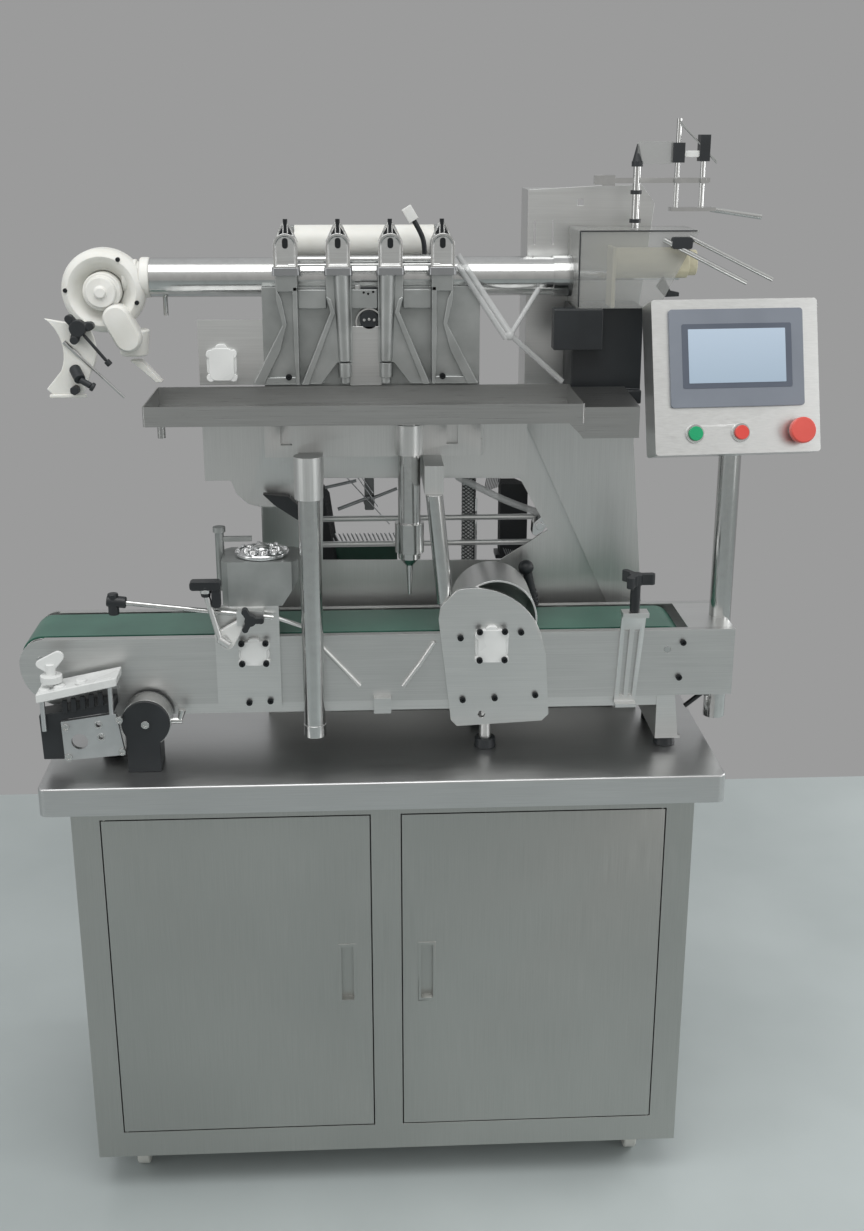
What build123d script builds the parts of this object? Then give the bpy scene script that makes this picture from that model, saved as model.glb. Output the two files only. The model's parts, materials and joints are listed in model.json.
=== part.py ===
from build123d import *
from math import cos, radians, sin, tan
import os

# A bench-height filling machine: a two-door cabinet on casters, a belt conveyor along the front
# of its table, and a C-shaped frame behind the belt that carries the filling head over it.
# Millimetres. +X is to the right of someone facing the doors, +Y is away from them, +Z is up.
# The origin is on the floor, under the middle of the whole machine.

# Fits and sheet metal
run_fit = 0.05
part_gap = 0.3
sheet = 2.0
cut_over = 1.0

# Cabinet and table
machine_x = -56.0
caster_h = 70.0
cabinet_w = 1000.0
cabinet_d = 540.0
table_w = 1085.0
table_lip = 30.0
table_sheet = 3.0
apron_h = 47.0
corner_r = 14.0
frame_depth = 25.0
stile = 45.0
mullion = 48.0
bottom_rail = 49.0
top_rail = 66.0
door_open_h = 592.0
door_gap = 2.0
door_t = 18.0
pivot_r = 2.5
pivot_inset = 4.0
pivot_len = 8.0
pull_w = 26.0
pull_h = 108.0
pull_z = 420.0
pull_in = 42.0
pull_depth = 13.0

# Heights above the table are drawn for a table top at deck_z, and set on the real one when kept
deck_z = 780.0

# Casters
caster_inset_x = 65.0
caster_inset_y = 60.0
pad_side = 60.0
pad_t = 4.0
king_r = 5.0
wheel_r = 25.0
wheel_w = 22.0
axle_r = 4.0
fork_t = 3.0
trail = 18.0

# Conveyor
conv_left = -634.0
conv_right = 515.0
conv_front = -185.0
conv_rear = -33.0
rail_bottom = 873.0
rail_h = 113.0
rail_t = 4.0
rail_top_r = 40.0
rail_foot_r = 70.0
belt_w = 110.0
belt_t = 2.5
roller_r = 30.0
shaft_r = 6.0
drive_roller_in = 34.0
idler_roller_in = 110.0
bed_t = 3.0
beam_h = 17.0
beam_w = 20.0
foot_h = 17.0
foot_r = 18.0

# Frame and head
column_left = -255.0
column_right = 366.0
column_depth = 160.0
head_left = -340.0
head_right = 184.0
head_front = -60.0
head_rear = 110.0
head_top = 1330.0
frame_wall = 4.0
tray_left = -412.0
tray_right = 254.0
tray_front = -213.0
tray_rear = -29.0
tray_h = 30.0

# Metering cylinder and valve
cyl_y = 17.0
cyl_z = 1528.5
cyl_r = 31.0
cyl_bore = 28.0
cyl_left = -418.0
cyl_right = 234.0
rod_r = 8.0
valve_x = -492.0
valve_z = 1510.0
valve_r = 66.0
valve_front = -20.0
valve_depth = 60.0
rotor_r = 30.0

# Head castings
arm_pitch = 81.7
arm_first_x = -199.0
arm_front = -60.0
arm_back = -25.0
arm_foot_z = 1366.0
arm_neck_z = 1538.0
arm_tip_z = 1622.0
arm_w = 38.0
arm_bar_r = 6.0

# Nozzle and hanging pillars
nozzle_x = -10.0
nozzle_y = -110.0
nozzle_r = 18.0
nozzle_tip_z = 1030.0
nozzle_top_z = 1322.0
collar_r = 23.5
pillar_r = 17.0
pillar_x = -167.0
pillar_y = -212.0
pillar_low_z = 827.0
pillar_top_z = 1218.0

# Operator panel
post_x = 507.0
post_y = -110.0
post_r = 18.0
post_low_z = 807.0
post_top_z = 1340.0
panel_w = 263.0
panel_h = 236.0
panel_d = 50.0
panel_tilt = 16.0
panel_yaw = 5.0
panel_x = 491.0
panel_y = -180.0
panel_z = 1394.0
hmi_w = 212.0
hmi_h = 149.0
hmi_up = 28.0
button_row = -86.0
button_r = 11.0
bezel_r = 14.75
estop_r = 20.0

os.makedirs("parts", exist_ok=True)


def keep(piece, name):
    """Label a finished piece and write it as a STEP file of its own."""
    piece.part.label = name
    export_step(piece.part, "parts/" + name + ".step")


def keep_on_table(piece, name):
    """Set a piece that was drawn over deck_z on the real table, and keep it."""
    piece.part.position = (0, 0, table_z - deck_z)
    keep(piece, name)


def front_plane(y):
    """The upright plane at depth y, seen from the front: local x is X and local y is Z."""
    return Plane.XZ.offset(-y)


def side_plane(x):
    """The upright plane at x, seen from the right: local x is Y and local y is Z."""
    return Plane.YZ.offset(x)


def rod(start, end, radius):
    """Add a round bar between two points to the part that is being built."""
    line = Vector(*end) - Vector(*start)
    with BuildSketch(Plane(origin=start, z_dir=line)) as profile:
        Circle(radius)
    extrude(profile.sketch, amount=line.length)


def block(x, y, z, mode=Mode.ADD):
    """Add or cut a block that spans the three given (low, high) pairs."""
    with Locations(((x[0] + x[1]) / 2, (y[0] + y[1]) / 2, (z[0] + z[1]) / 2)):
        Box(x[1] - x[0], y[1] - y[0], z[1] - z[0], mode=mode)


def outline(plane, points, depth, mode=Mode.ADD):
    """Extrude a closed polygon from a plane; a positive depth goes along the plane's normal."""
    with BuildSketch(plane) as profile:
        with BuildLine():
            Polyline(*points, close=True)
        make_face()
    extrude(profile.sketch, amount=depth, mode=mode)


def corner_radii(points):
    """The radius at each corner of a route, as wide as its two runs allow."""
    corners = [Vector(*point) for point in points]
    radii = []
    for before, here, after in zip(corners, corners[1:], corners[2:]):
        run = min((here - before).length, (after - here).length)
        turn = (here - before).get_angle(after - here)
        radii.append(0.45 * run / tan(radians(turn / 2)))
    return radii


def star(plane, centre, radius, hub, depth, lobes=3):
    """Add a lobed hand knob on a plane."""
    with BuildSketch(plane) as profile:
        with Locations(centre):
            Circle(hub)
            with PolarLocations(radius - hub * 0.5, lobes):
                Circle(hub * 0.55)
            with PolarLocations((radius - hub * 0.5) / 2, lobes):
                Rectangle(radius - hub * 0.5, hub)
    extrude(profile.sketch, amount=depth)


# Cabinet: a folded sheet body with a deep front frame round two door openings
cabinet_left = machine_x - cabinet_w / 2
cabinet_front = -cabinet_d / 2
open_w = (cabinet_w - 2 * stile - mullion) / 2
open_low_z = caster_h + bottom_rail
table_d = cabinet_d + 2 * table_lip
cabinet_top = open_low_z + door_open_h + top_rail
table_z = cabinet_top + table_sheet
open_mid_z = open_low_z + door_open_h / 2
open_offset = (mullion + open_w) / 2
pivot_y = cabinet_front + pivot_inset
door_w = open_w - 2 * door_gap
door_h = door_open_h - 2 * door_gap
pivot_x = open_offset + door_w / 2 - pivot_inset
caster_x = cabinet_w / 2 - caster_inset_x
caster_y = cabinet_d / 2 - caster_inset_y
caster_spots = [(machine_x + i * caster_x, j * caster_y) for i in (-1, 1) for j in (-1, 1)]

with BuildPart() as cabinet_shell:
    with BuildSketch(Plane.XY.offset(caster_h)):
        with Locations((machine_x, 0)):
            Rectangle(cabinet_w, cabinet_d)
    extrude(amount=cabinet_top - caster_h)
    with BuildSketch(Plane.XY.offset(caster_h + sheet)):
        with Locations((machine_x, (frame_depth - sheet) / 2)):
            Rectangle(cabinet_w - 2 * sheet, cabinet_d - frame_depth - sheet)
    extrude(amount=cabinet_top - caster_h - 2 * sheet, mode=Mode.SUBTRACT)
    with BuildSketch(front_plane(cabinet_front)):
        with Locations((machine_x - open_offset, open_mid_z), (machine_x + open_offset, open_mid_z)):
            Rectangle(open_w, door_open_h)
    extrude(amount=-frame_depth, mode=Mode.SUBTRACT)
    with BuildSketch(Plane.XY.offset(caster_h - pad_t)):
        with Locations(*caster_spots):
            RectangleRounded(pad_side, pad_side, corner_r / 2)
    extrude(amount=pad_t)
    with BuildSketch(Plane.XY.offset(caster_h - pad_t)):
        with Locations(*caster_spots):
            Circle(king_r + run_fit)
    extrude(amount=pad_t + sheet, mode=Mode.SUBTRACT)
    with BuildSketch(Plane.XY.offset(open_low_z - pivot_len)):
        with Locations((machine_x - pivot_x, pivot_y), (machine_x + pivot_x, pivot_y)):
            Circle(pivot_r + run_fit)
    extrude(amount=door_open_h + 2 * pivot_len, mode=Mode.SUBTRACT)
keep(cabinet_shell, "cabinet_shell")

with BuildPart() as table_top:
    with BuildSketch(Plane.XY.offset(table_z - apron_h)):
        with Locations((machine_x, 0)):
            RectangleRounded(table_w, table_d, corner_r)
    extrude(amount=apron_h)
    fillet(table_top.faces().sort_by(Axis.Z)[-1].edges(), radius=table_sheet)
    with BuildSketch(Plane.XY.offset(table_z - apron_h)):
        with Locations((machine_x, 0)):
            RectangleRounded(table_w - 2 * sheet, table_d - 2 * sheet, corner_r - sheet)
    extrude(amount=apron_h - table_sheet, mode=Mode.SUBTRACT)
keep(table_top, "table_top")

# Doors: folded pans that turn on pivot pins in the frame, each with a flush cup pull
for side, door_name in ((-1, "left_door"), (1, "right_door")):
    door_x = machine_x + side * open_offset
    cup_x = machine_x + side * (mullion / 2 + pull_in)
    hinge_x = machine_x + side * pivot_x
    with BuildPart() as door:
        with BuildSketch(front_plane(cabinet_front)):
            with Locations((door_x, open_mid_z)):
                Rectangle(door_w, door_h)
        extrude(amount=-door_t)
        with BuildSketch(front_plane(cabinet_front + sheet)):
            with Locations((door_x, open_mid_z)):
                Rectangle(door_w - 2 * sheet, door_h - 2 * sheet)
        extrude(amount=-door_t, mode=Mode.SUBTRACT)
        with BuildSketch(front_plane(cabinet_front + door_t)):
            with Locations((cup_x, pull_z)):
                Rectangle(pull_w, pull_h)
        extrude(amount=door_t)
        with BuildSketch(front_plane(cabinet_front)):
            with Locations((cup_x, pull_z)):
                Rectangle(pull_w + 2 * sheet, pull_h + 2 * sheet)
        extrude(amount=sheet / 2)
        with BuildSketch(front_plane(cabinet_front - sheet)):
            with Locations((cup_x, pull_z)):
                Rectangle(pull_w - 3 * sheet, pull_h - 4 * sheet)
        extrude(amount=-pull_depth, mode=Mode.SUBTRACT)
        for end_z in (open_mid_z - door_h / 2, open_mid_z + door_h / 2 - pivot_len):
            with BuildSketch(Plane.XY.offset(end_z)):
                with Locations((hinge_x, pivot_y)):
                    Rectangle(2 * pivot_inset, 2 * pivot_inset)
            extrude(amount=pivot_len)
        pin_h = door_gap + pivot_len - part_gap
        for end_z in (open_mid_z - door_h / 2 - pin_h, open_mid_z + door_h / 2):
            with BuildSketch(Plane.XY.offset(end_z)):
                with Locations((hinge_x, pivot_y)):
                    Circle(pivot_r)
            extrude(amount=pin_h)
    keep(door, door_name)

# Casters: each fork swivels on a king pin in its pad, and each wheel turns on the fork's axle
corner_names = ("front_left", "rear_left", "front_right", "rear_right")
for (spot_x, spot_y), corner in zip(caster_spots, corner_names):
    crown_z = caster_h - pad_t - part_gap
    wheel_y = spot_y + trail
    leg_x = wheel_w / 2 + 1.5
    with BuildPart() as caster_fork:
        with BuildSketch(Plane.XY.offset(crown_z)):
            with Locations((spot_x, spot_y)):
                Circle(king_r)
        extrude(amount=pad_t + part_gap)
        block(
            (spot_x - leg_x - fork_t, spot_x + leg_x + fork_t),
            (spot_y - 16, spot_y + trail + 12),
            (crown_z - 4, crown_z),
        )
        for leg in (-1, 1):
            near = spot_x + leg * leg_x
            with BuildSketch(side_plane(min(near, near + leg * fork_t))):
                with BuildLine():
                    Polyline(
                        (spot_y - 14, crown_z - 2),
                        (wheel_y + 12, crown_z - 2),
                        (wheel_y + 9, wheel_r - 7),
                        (wheel_y - 9, wheel_r - 7),
                        close=True,
                    )
                make_face()
            extrude(amount=fork_t)
        with BuildSketch(side_plane(spot_x - leg_x - fork_t)):
            with Locations((wheel_y, wheel_r)):
                Circle(axle_r)
        extrude(amount=2 * (leg_x + fork_t))
    keep(caster_fork, corner + "_fork")
    with BuildPart() as caster_wheel:
        with BuildSketch(side_plane(spot_x - wheel_w / 2)):
            with Locations((wheel_y, wheel_r)):
                Circle(wheel_r)
        extrude(amount=wheel_w)
        fillet(caster_wheel.edges().filter_by(GeomType.CIRCLE), radius=4)
        with BuildSketch(side_plane(spot_x - wheel_w / 2)):
            with Locations((wheel_y, wheel_r)):
                Circle(axle_r + run_fit)
        extrude(amount=wheel_w, mode=Mode.SUBTRACT)
    keep(caster_wheel, corner + "_wheel")

# Conveyor: two side rails that carry a slider bed on cross bars, two rollers and the belt
rail_top = rail_bottom + rail_h
rail_inner_front = conv_front + rail_t
rail_inner_rear = conv_rear - rail_t
conv_mid_y = (conv_front + conv_rear) / 2
belt_top = rail_top - part_gap
roller_z = belt_top - belt_t - part_gap - roller_r
drive_x = conv_left + drive_roller_in
idler_x = conv_right - idler_roller_in
lip_w = 9.0

with BuildPart() as conveyor_rails:
    for face_y in (conv_front, conv_rear - rail_t):
        with BuildSketch(front_plane(face_y)):
            with BuildLine():
                Line((conv_left + rail_top_r, rail_top), (conv_right, rail_top))
                Line((conv_right, rail_top), (conv_right, rail_bottom))
                Line((conv_right, rail_bottom), (conv_left + rail_foot_r, rail_bottom))
                CenterArc((conv_left + rail_foot_r, rail_bottom + rail_foot_r), rail_foot_r, 180, 90)
                Line((conv_left, rail_bottom + rail_foot_r), (conv_left, rail_top - rail_top_r))
                CenterArc((conv_left + rail_top_r, rail_top - rail_top_r), rail_top_r, 90, 90)
            make_face()
            with Locations((drive_x, roller_z), (idler_x, roller_z)):
                Circle(shaft_r + run_fit, mode=Mode.SUBTRACT)
        extrude(amount=-rail_t)
    for lip_y in (rail_inner_front, rail_inner_rear - lip_w):
        block((conv_left + rail_top_r, conv_right), (lip_y, lip_y + lip_w), (rail_top - sheet, rail_top))
    bed_top = roller_z + roller_r + part_gap
    block(
        (drive_x + roller_r + 8, idler_x - roller_r - 8),
        (conv_mid_y - belt_w / 2, conv_mid_y + belt_w / 2),
        (bed_top - bed_t, bed_top),
    )
    for bar_x in (-400, -60, 250):
        block((bar_x - 10, bar_x + 10), (rail_inner_front, rail_inner_rear), (bed_top - 33, bed_top - bed_t))
keep_on_table(conveyor_rails, "conveyor_rails")

belt_span = idler_x - drive_x
with BuildPart() as conveyor_belt:
    with BuildSketch(front_plane(conv_mid_y - belt_w / 2)):
        with Locations(((drive_x + idler_x) / 2, roller_z)):
            SlotCenterToCenter(belt_span, 2 * (roller_r + part_gap + belt_t))
            SlotCenterToCenter(belt_span, 2 * (roller_r + part_gap), mode=Mode.SUBTRACT)
    extrude(amount=-belt_w)
keep_on_table(conveyor_belt, "conveyor_belt")

for roller_name, roller_x in (("drive_roller", drive_x), ("idler_roller", idler_x)):
    with BuildPart() as roller:
        with BuildSketch(front_plane(conv_mid_y - belt_w / 2 - 4)):
            with Locations((roller_x, roller_z)):
                Circle(roller_r)
        extrude(amount=-(belt_w + 8))
        with BuildSketch(front_plane(conv_front)):
            with Locations((roller_x, roller_z)):
                Circle(shaft_r)
        extrude(amount=-(conv_rear - conv_front))
    keep_on_table(roller, roller_name)

# Right end of the conveyor: a bright cover plate, and the block that clamps the panel post
cover_left = idler_x + roller_r + 5
clamp_left = post_x - post_r - 12
with BuildPart() as end_cover:
    block((cover_left, conv_right), (rail_inner_front + lip_w, rail_inner_rear - lip_w), (rail_top - sheet, rail_top))
    block((clamp_left, conv_right), (rail_inner_front, rail_inner_rear), (rail_bottom + 7, rail_top - sheet))
    block((clamp_left, clamp_left + 12), (-132, -88), (rail_bottom - 18, rail_bottom + 7))
    with BuildSketch(Plane.XY.offset(rail_bottom - 20)):
        with Locations((post_x, post_y)):
            Circle(post_r + run_fit)
    extrude(amount=rail_h + 24, mode=Mode.SUBTRACT)
    with BuildSketch(front_plane(-132)):
        with Locations((clamp_left + 6, rail_bottom - 9)):
            Circle(3 + run_fit)
    extrude(amount=-44, mode=Mode.SUBTRACT)
keep_on_table(end_cover, "end_cover")

foot_top = deck_z + foot_h
leg_feet_spots = ((412, -163), (412, -55), (-500, -163), (-500, -55), (112, -161), (112, -57))
with BuildPart() as support_legs:
    for beam_y in (conv_front + 2, conv_rear - 2 - beam_w):
        block((-476, 392), (beam_y, beam_y + beam_w), (rail_bottom - beam_h, rail_bottom))
    for web_x, toe in ((392, 1), (-480, -1)):
        block((web_x, web_x + rail_t), (conv_front, conv_rear), (foot_top, rail_bottom))
        toe_x = sorted((web_x, web_x + rail_t + toe * 38))
        block(toe_x, (conv_front, conv_rear), (foot_top, foot_top + 4))
        outline(
            front_plane(conv_front),
            (
                (web_x, foot_top),
                (web_x + toe * 38, foot_top),
                (web_x + toe * 30, rail_bottom),
                (web_x, rail_bottom),
            ),
            -rail_t,
        )
    for stub_y in (-161, -57):
        with BuildSketch(Plane.XY.offset(foot_top)):
            with Locations((112, stub_y)):
                Circle(10)
        extrude(amount=rail_bottom - beam_h - foot_top)
    block((102, 122), (-161, -57), (rail_bottom - beam_h - 8, rail_bottom - beam_h))
keep_on_table(support_legs, "support_legs")

with BuildPart() as leg_feet:
    with BuildSketch(Plane.XY.offset(deck_z)):
        with Locations(*leg_feet_spots):
            Circle(foot_r)
    extrude(amount=foot_h, taper=4)
keep_on_table(leg_feet, "leg_feet")

# C frame: a sheet column behind the belt with a window through it, and the head above the belt
head_low_z = 1167.0
window = ((-150, 1201), (180, 1197), (230, 1106), (149, 1054), (-154, 1058))
head_shape = (
    (head_left, head_top),
    (head_left, 1212),
    (-298, 1212),
    (-290, 1190),
    (-272, 1173),
    (-250, head_low_z),
    (-152, head_low_z),
    (-152, 1216),
    (head_right, 1216),
    (head_right, head_top),
)
arm_reach = ((pillar_x - 20, pillar_x + 20, pillar_y, pillar_top_z), (12, 42, -171.5, 1212))
with BuildPart() as main_frame:
    block((column_left, column_right), (0, column_depth), (deck_z, head_top))
    block(
        (column_left + frame_wall, column_right - frame_wall),
        (frame_wall, column_depth + cut_over),
        (deck_z + frame_wall, head_top - frame_wall),
        mode=Mode.SUBTRACT,
    )
    outline(front_plane(head_front), head_shape, -(head_rear - head_front))
    with BuildSketch(front_plane(head_front + frame_wall)):
        with BuildLine():
            Polyline(*head_shape, close=True)
        make_face()
        offset(amount=-frame_wall, mode=Mode.REPLACE)
    extrude(amount=-(head_rear - head_front), mode=Mode.SUBTRACT)
    outline(front_plane(-cut_over), window, -(frame_wall + 2 * cut_over), mode=Mode.SUBTRACT)
    outline(
        front_plane(-6),
        ((184, 1300), (column_right, 1300), (394, 978), (394, deck_z), (352, deck_z), (333, 979)),
        -6,
    )
    for low_x, high_x, reach_y, low_z in arm_reach:
        block((low_x, high_x), (reach_y, head_front), (low_z, low_z + 45))
    with BuildSketch(Plane.XY.offset(pillar_top_z)):
        with Locations((pillar_x, pillar_y)):
            Circle(22)
    extrude(amount=66)
    block((-240, 106), (head_front - 28, head_front), (1255, 1306))
    for slot_x in (-205, 60):
        block((slot_x - 9, slot_x + 9), (head_front - 30, head_front - 20), (1275, 1307), mode=Mode.SUBTRACT)
    for rod_y, rod_z in ((40, 1120), (40, 1075)):
        rod((column_left + frame_wall, rod_y, rod_z), (column_right - frame_wall, rod_y, rod_z), 5)
    rod((nozzle_x, nozzle_y, 1264), (nozzle_x, nozzle_y, 1312), nozzle_r + 4)
    block((nozzle_x - 16, nozzle_x + 16), (nozzle_y, head_front - 28), (1264, 1304))
    with BuildSketch(Plane.XY.offset(1264)):
        with Locations((nozzle_x, nozzle_y)):
            Circle(nozzle_r + run_fit)
    extrude(amount=48, mode=Mode.SUBTRACT)
keep_on_table(main_frame, "main_frame")

# Hoses inside the column, and the clear tubes that run down beside the last clamp casting
head_floor_z = 1216.0
hose_path = (
    (74, 28, head_floor_z),
    (74, 28, 1195),
    (112, 28, 1176),
    (160, 28, 1151),
    (205, 28, 1134),
    (238, 30, 1122),
    (250, 22, 1118),
    (250, frame_wall, 1118),
)
tube_y = -31.0
with BuildPart() as hoses:
    with BuildLine() as hose_line:
        FilletPolyline(*hose_path, radius=corner_radii(hose_path))
    with BuildSketch(hose_line.line ^ 0):
        Circle(6)
    sweep(path=hose_line.line)
    rod((99, 62, deck_z + frame_wall), (99, 62, head_floor_z), 12)
    rod((71.5, tube_y, 1566), (157, tube_y, 1442), 4.7)
    rod((71.5, tube_y, 1550), (150, tube_y, 1434), 4.7)
    rod((203, -15, 1511), (157, tube_y, 1440), 4.2)
    rod((157, tube_y, 1440), (243, tube_y, 1364), 4.7)
    with Locations((156, tube_y, 1439)):
        Sphere(8)
keep_on_table(hoses, "hoses")

with BuildPart() as hanging_pillars:
    rod((pillar_x, pillar_y, pillar_low_z), (pillar_x, pillar_y, pillar_top_z), pillar_r)
    rod((pillar_x, pillar_y, pillar_low_z), (pillar_x, pillar_y, pillar_low_z + 20), pillar_r + 1)
    rod((26.6, -171.5, 1216), (45, -171.5, 1034), 13.5)
    block((5, 50), (-190, -150), (1212, 1225), mode=Mode.SUBTRACT)
keep_on_table(hanging_pillars, "hanging_pillars")

# Drip tray with its drain, on top of the head, and the sheet shelf at its right end
with BuildPart() as drip_tray:
    block((tray_left, tray_right), (tray_front, tray_rear), (head_top, head_top + tray_h))
    fillet(drip_tray.edges().filter_by(Axis.Z), radius=4)
    block(
        (tray_left + sheet, tray_right - sheet),
        (tray_front + sheet, tray_rear - sheet),
        (head_top + sheet, head_top + tray_h + cut_over),
        mode=Mode.SUBTRACT,
    )
    with BuildSketch(Plane.XY.offset(head_top - 24)):
        with Locations((tray_left + 22, tray_front + 40)):
            Circle(6)
    extrude(amount=24)
    with BuildSketch(Plane.XY.offset(head_top - 24)):
        with Locations((tray_left + 22, tray_front + 40)):
            Circle(4.5)
    extrude(amount=26 + sheet, mode=Mode.SUBTRACT)
    outline(
        front_plane(tray_front),
        ((tray_right - 24, head_top), (tray_right, head_top), (tray_right, head_top - 24)),
        -3,
    )
    shelf_shape = ((-200, 1304), (-60, 1304), (-60, 1360), (-200, 1352))
    outline(side_plane(tray_right), shelf_shape, 86)
keep_on_table(drip_tray, "drip_tray")

# Carrier casting, with a saddle for the cylinder, and the four clamp castings on its front
carrier_left = -240.0
carrier_right = 108.0
carrier_rear = 100.0
with BuildPart() as carrier_block:
    block((carrier_left, carrier_right), (arm_back, carrier_rear), (head_top, cyl_z - 12))
    block(
        (carrier_left + 12, carrier_right - 12),
        (arm_back + 15, carrier_rear + cut_over),
        (head_top + 12, cyl_z - cyl_r - 14),
        mode=Mode.SUBTRACT,
    )
    block((-94, -59), (arm_back - 14, arm_back), (1362, 1455))
    with BuildSketch(side_plane(carrier_left - cut_over)):
        with Locations((cyl_y, cyl_z)):
            Circle(cyl_r + part_gap)
    extrude(amount=carrier_right - carrier_left + 2 * cut_over, mode=Mode.SUBTRACT)
    for plate_x in (carrier_left + 44, carrier_right - 68):
        block((plate_x, plate_x + 6), (cyl_y + cyl_r + 6, carrier_rear), (cyl_z - 14, 1605))
    with BuildSketch(side_plane(carrier_left)):
        with Locations((76, 1580)):
            Circle(shaft_r + run_fit)
    extrude(amount=carrier_right - carrier_left, mode=Mode.SUBTRACT)
keep_on_table(carrier_block, "carrier_block")

arm_xs = [arm_first_x + i * arm_pitch for i in range(4)]
half_w = arm_w / 2
outer_leg = ((-17, arm_neck_z), (17, arm_neck_z), (17, arm_foot_z), (-58, arm_foot_z), (-8, 1460), (-17, 1500))
inner_leg = (
    (-20, arm_neck_z),
    (20, arm_neck_z),
    (20, 1400),
    (-4, 1400),
    (-30, arm_foot_z),
    (-62, arm_foot_z),
    (-14, 1480),
    (-20, 1500),
)
with BuildPart() as clamp_castings:
    for arm_x, leg, flip in zip(arm_xs, (outer_leg, inner_leg, inner_leg, outer_leg), (1, 1, -1, -1)):
        points = [(arm_x + flip * px, pz) for px, pz in leg]
        outline(front_plane(arm_front + 4), points, -(arm_back - arm_front - 4))
        with BuildSketch(front_plane(arm_front)):
            with Locations((arm_x, (arm_neck_z + 1582) / 2)):
                Rectangle(arm_w, 1582 - arm_neck_z)
            with Locations((arm_x, 1582)):
                Circle(half_w)
            with Locations((arm_x, arm_neck_z + 6)):
                Rectangle(arm_w + 6, 12)
        extrude(amount=-(arm_back - arm_front))
        fin = ((arm_x - half_w, 1586), (arm_x + half_w, 1586), (arm_x + 4, arm_tip_z), (arm_x - 4, arm_tip_z))
        outline(front_plane(arm_back - 10), fin, -8)
    rod((arm_xs[0] - half_w, -42, arm_neck_z + 22), (arm_xs[3] + half_w, -42, arm_neck_z + 22), arm_bar_r)
    for cap_x in (arm_xs[1] + 8, arm_xs[2] - 8):
        with BuildSketch(Plane.XY.offset(1374)):
            with Locations((cap_x, arm_back - 19)):
                Circle(11)
        extrude(amount=26 - part_gap)
keep_on_table(clamp_castings, "clamp_castings")

with BuildPart() as rear_drum:
    with BuildSketch(side_plane(carrier_left + 50 + part_gap)):
        with Locations((76, 1580)):
            Circle(26)
    extrude(amount=carrier_right - carrier_left - 118 - 2 * part_gap)
    rod((carrier_left + 44, 76, 1580), (carrier_right - 62, 76, 1580), shaft_r)
keep_on_table(rear_drum, "rear_drum")

# Metering cylinder: barrel with an end collar, piston and rod
with BuildPart() as cylinder_barrel:
    rod((cyl_left, cyl_y, cyl_z), (cyl_right, cyl_y, cyl_z), cyl_r)
    rod((cyl_right - 6, cyl_y, cyl_z), (cyl_right + 25, cyl_y, cyl_z), cyl_r + 2)
    rod((cyl_left + 21, cyl_y, cyl_z - 60), (cyl_left + 21, cyl_y, cyl_z - 20), 4)
    with BuildSketch(side_plane(cyl_left)):
        with Locations((cyl_y, cyl_z)):
            Circle(cyl_bore + run_fit)
    extrude(amount=cyl_right - cyl_left, mode=Mode.SUBTRACT)
    with BuildSketch(side_plane(cyl_right)):
        with Locations((cyl_y, cyl_z)):
            Circle(rod_r + run_fit)
    extrude(amount=26, mode=Mode.SUBTRACT)
    rod((21, cyl_y, cyl_z), (21, cyl_y, cyl_z + cyl_r + 4), 7)
    with BuildSketch(side_plane(0)):
        with Locations((cyl_y, cyl_z)):
            Circle(cyl_bore + run_fit)
    extrude(amount=40, mode=Mode.SUBTRACT)
keep_on_table(cylinder_barrel, "cylinder_barrel")

# Short sensor lead that stands up from its gland on the barrel, with a connector at its end
lead_foot_z = cyl_z + cyl_r + 4
lead_path = (
    (21, cyl_y, lead_foot_z),
    (21, cyl_y, lead_foot_z + 16),
    (15, cyl_y, lead_foot_z + 34),
    (4, cyl_y, lead_foot_z + 52),
)
lead_end = Vector(*lead_path[-1])
lead_way = (lead_end - Vector(*lead_path[-2])).normalized()
with BuildPart() as sensor_lead:
    with BuildLine() as lead_line:
        FilletPolyline(*lead_path, radius=corner_radii(lead_path))
    with BuildSketch(lead_line.line ^ 0):
        Circle(4)
    sweep(path=lead_line.line)
keep_on_table(sensor_lead, "sensor_lead")

with BuildPart() as lead_connector:
    with BuildSketch(Plane(origin=lead_end, x_dir=(0, 1, 0), z_dir=lead_way)):
        RectangleRounded(12, 17, 1.5)
    extrude(amount=24)
keep_on_table(lead_connector, "lead_connector")

with BuildPart() as piston:
    rod((-60, cyl_y, cyl_z), (-30, cyl_y, cyl_z), cyl_bore)
    rod((-30, cyl_y, cyl_z), (436, cyl_y, cyl_z), rod_r)
keep_on_table(piston, "piston")

# Rotary valve: a white volute housing on the cylinder's end, its spout and its rotor
chute_top_z = valve_z - 118
with BuildPart() as valve_housing:
    with BuildSketch(front_plane(valve_front)):
        with Locations((valve_x, valve_z)):
            Circle(valve_r)
        with Locations((valve_x + 42, valve_z - 74)):
            Circle(30)
        make_hull()
    extrude(amount=-valve_depth)
    fillet(valve_housing.edges().filter_by(GeomType.CIRCLE), radius=6)
    rod((valve_x, cyl_y, cyl_z), (cyl_left, cyl_y, cyl_z), 26)
    rod((cyl_left - 14, cyl_y, cyl_z), (cyl_left, cyl_y, cyl_z), cyl_r + 1)
    rod((valve_x + 42, cyl_y, valve_z - 118), (valve_x + 42, cyl_y, valve_z - 90), 14)
    with BuildSketch(front_plane(valve_front)):
        with Locations((valve_x, valve_z)):
            Circle(rotor_r + run_fit)
    extrude(amount=-(valve_depth - 10), mode=Mode.SUBTRACT)
    with BuildSketch(side_plane(valve_x)):
        with Locations((cyl_y, cyl_z)):
            Circle(12)
    extrude(amount=cyl_left - valve_x, mode=Mode.SUBTRACT)
    outline(
        front_plane(cyl_y - 16),
        (
            (valve_x + 26, chute_top_z + 2),
            (valve_x + 58, chute_top_z + 2),
            (tray_left + 4, head_top + tray_h + 2),
            (tray_left - 8, head_top + tray_h + 2),
        ),
        -32,
    )
keep_on_table(valve_housing, "valve_housing")

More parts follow.
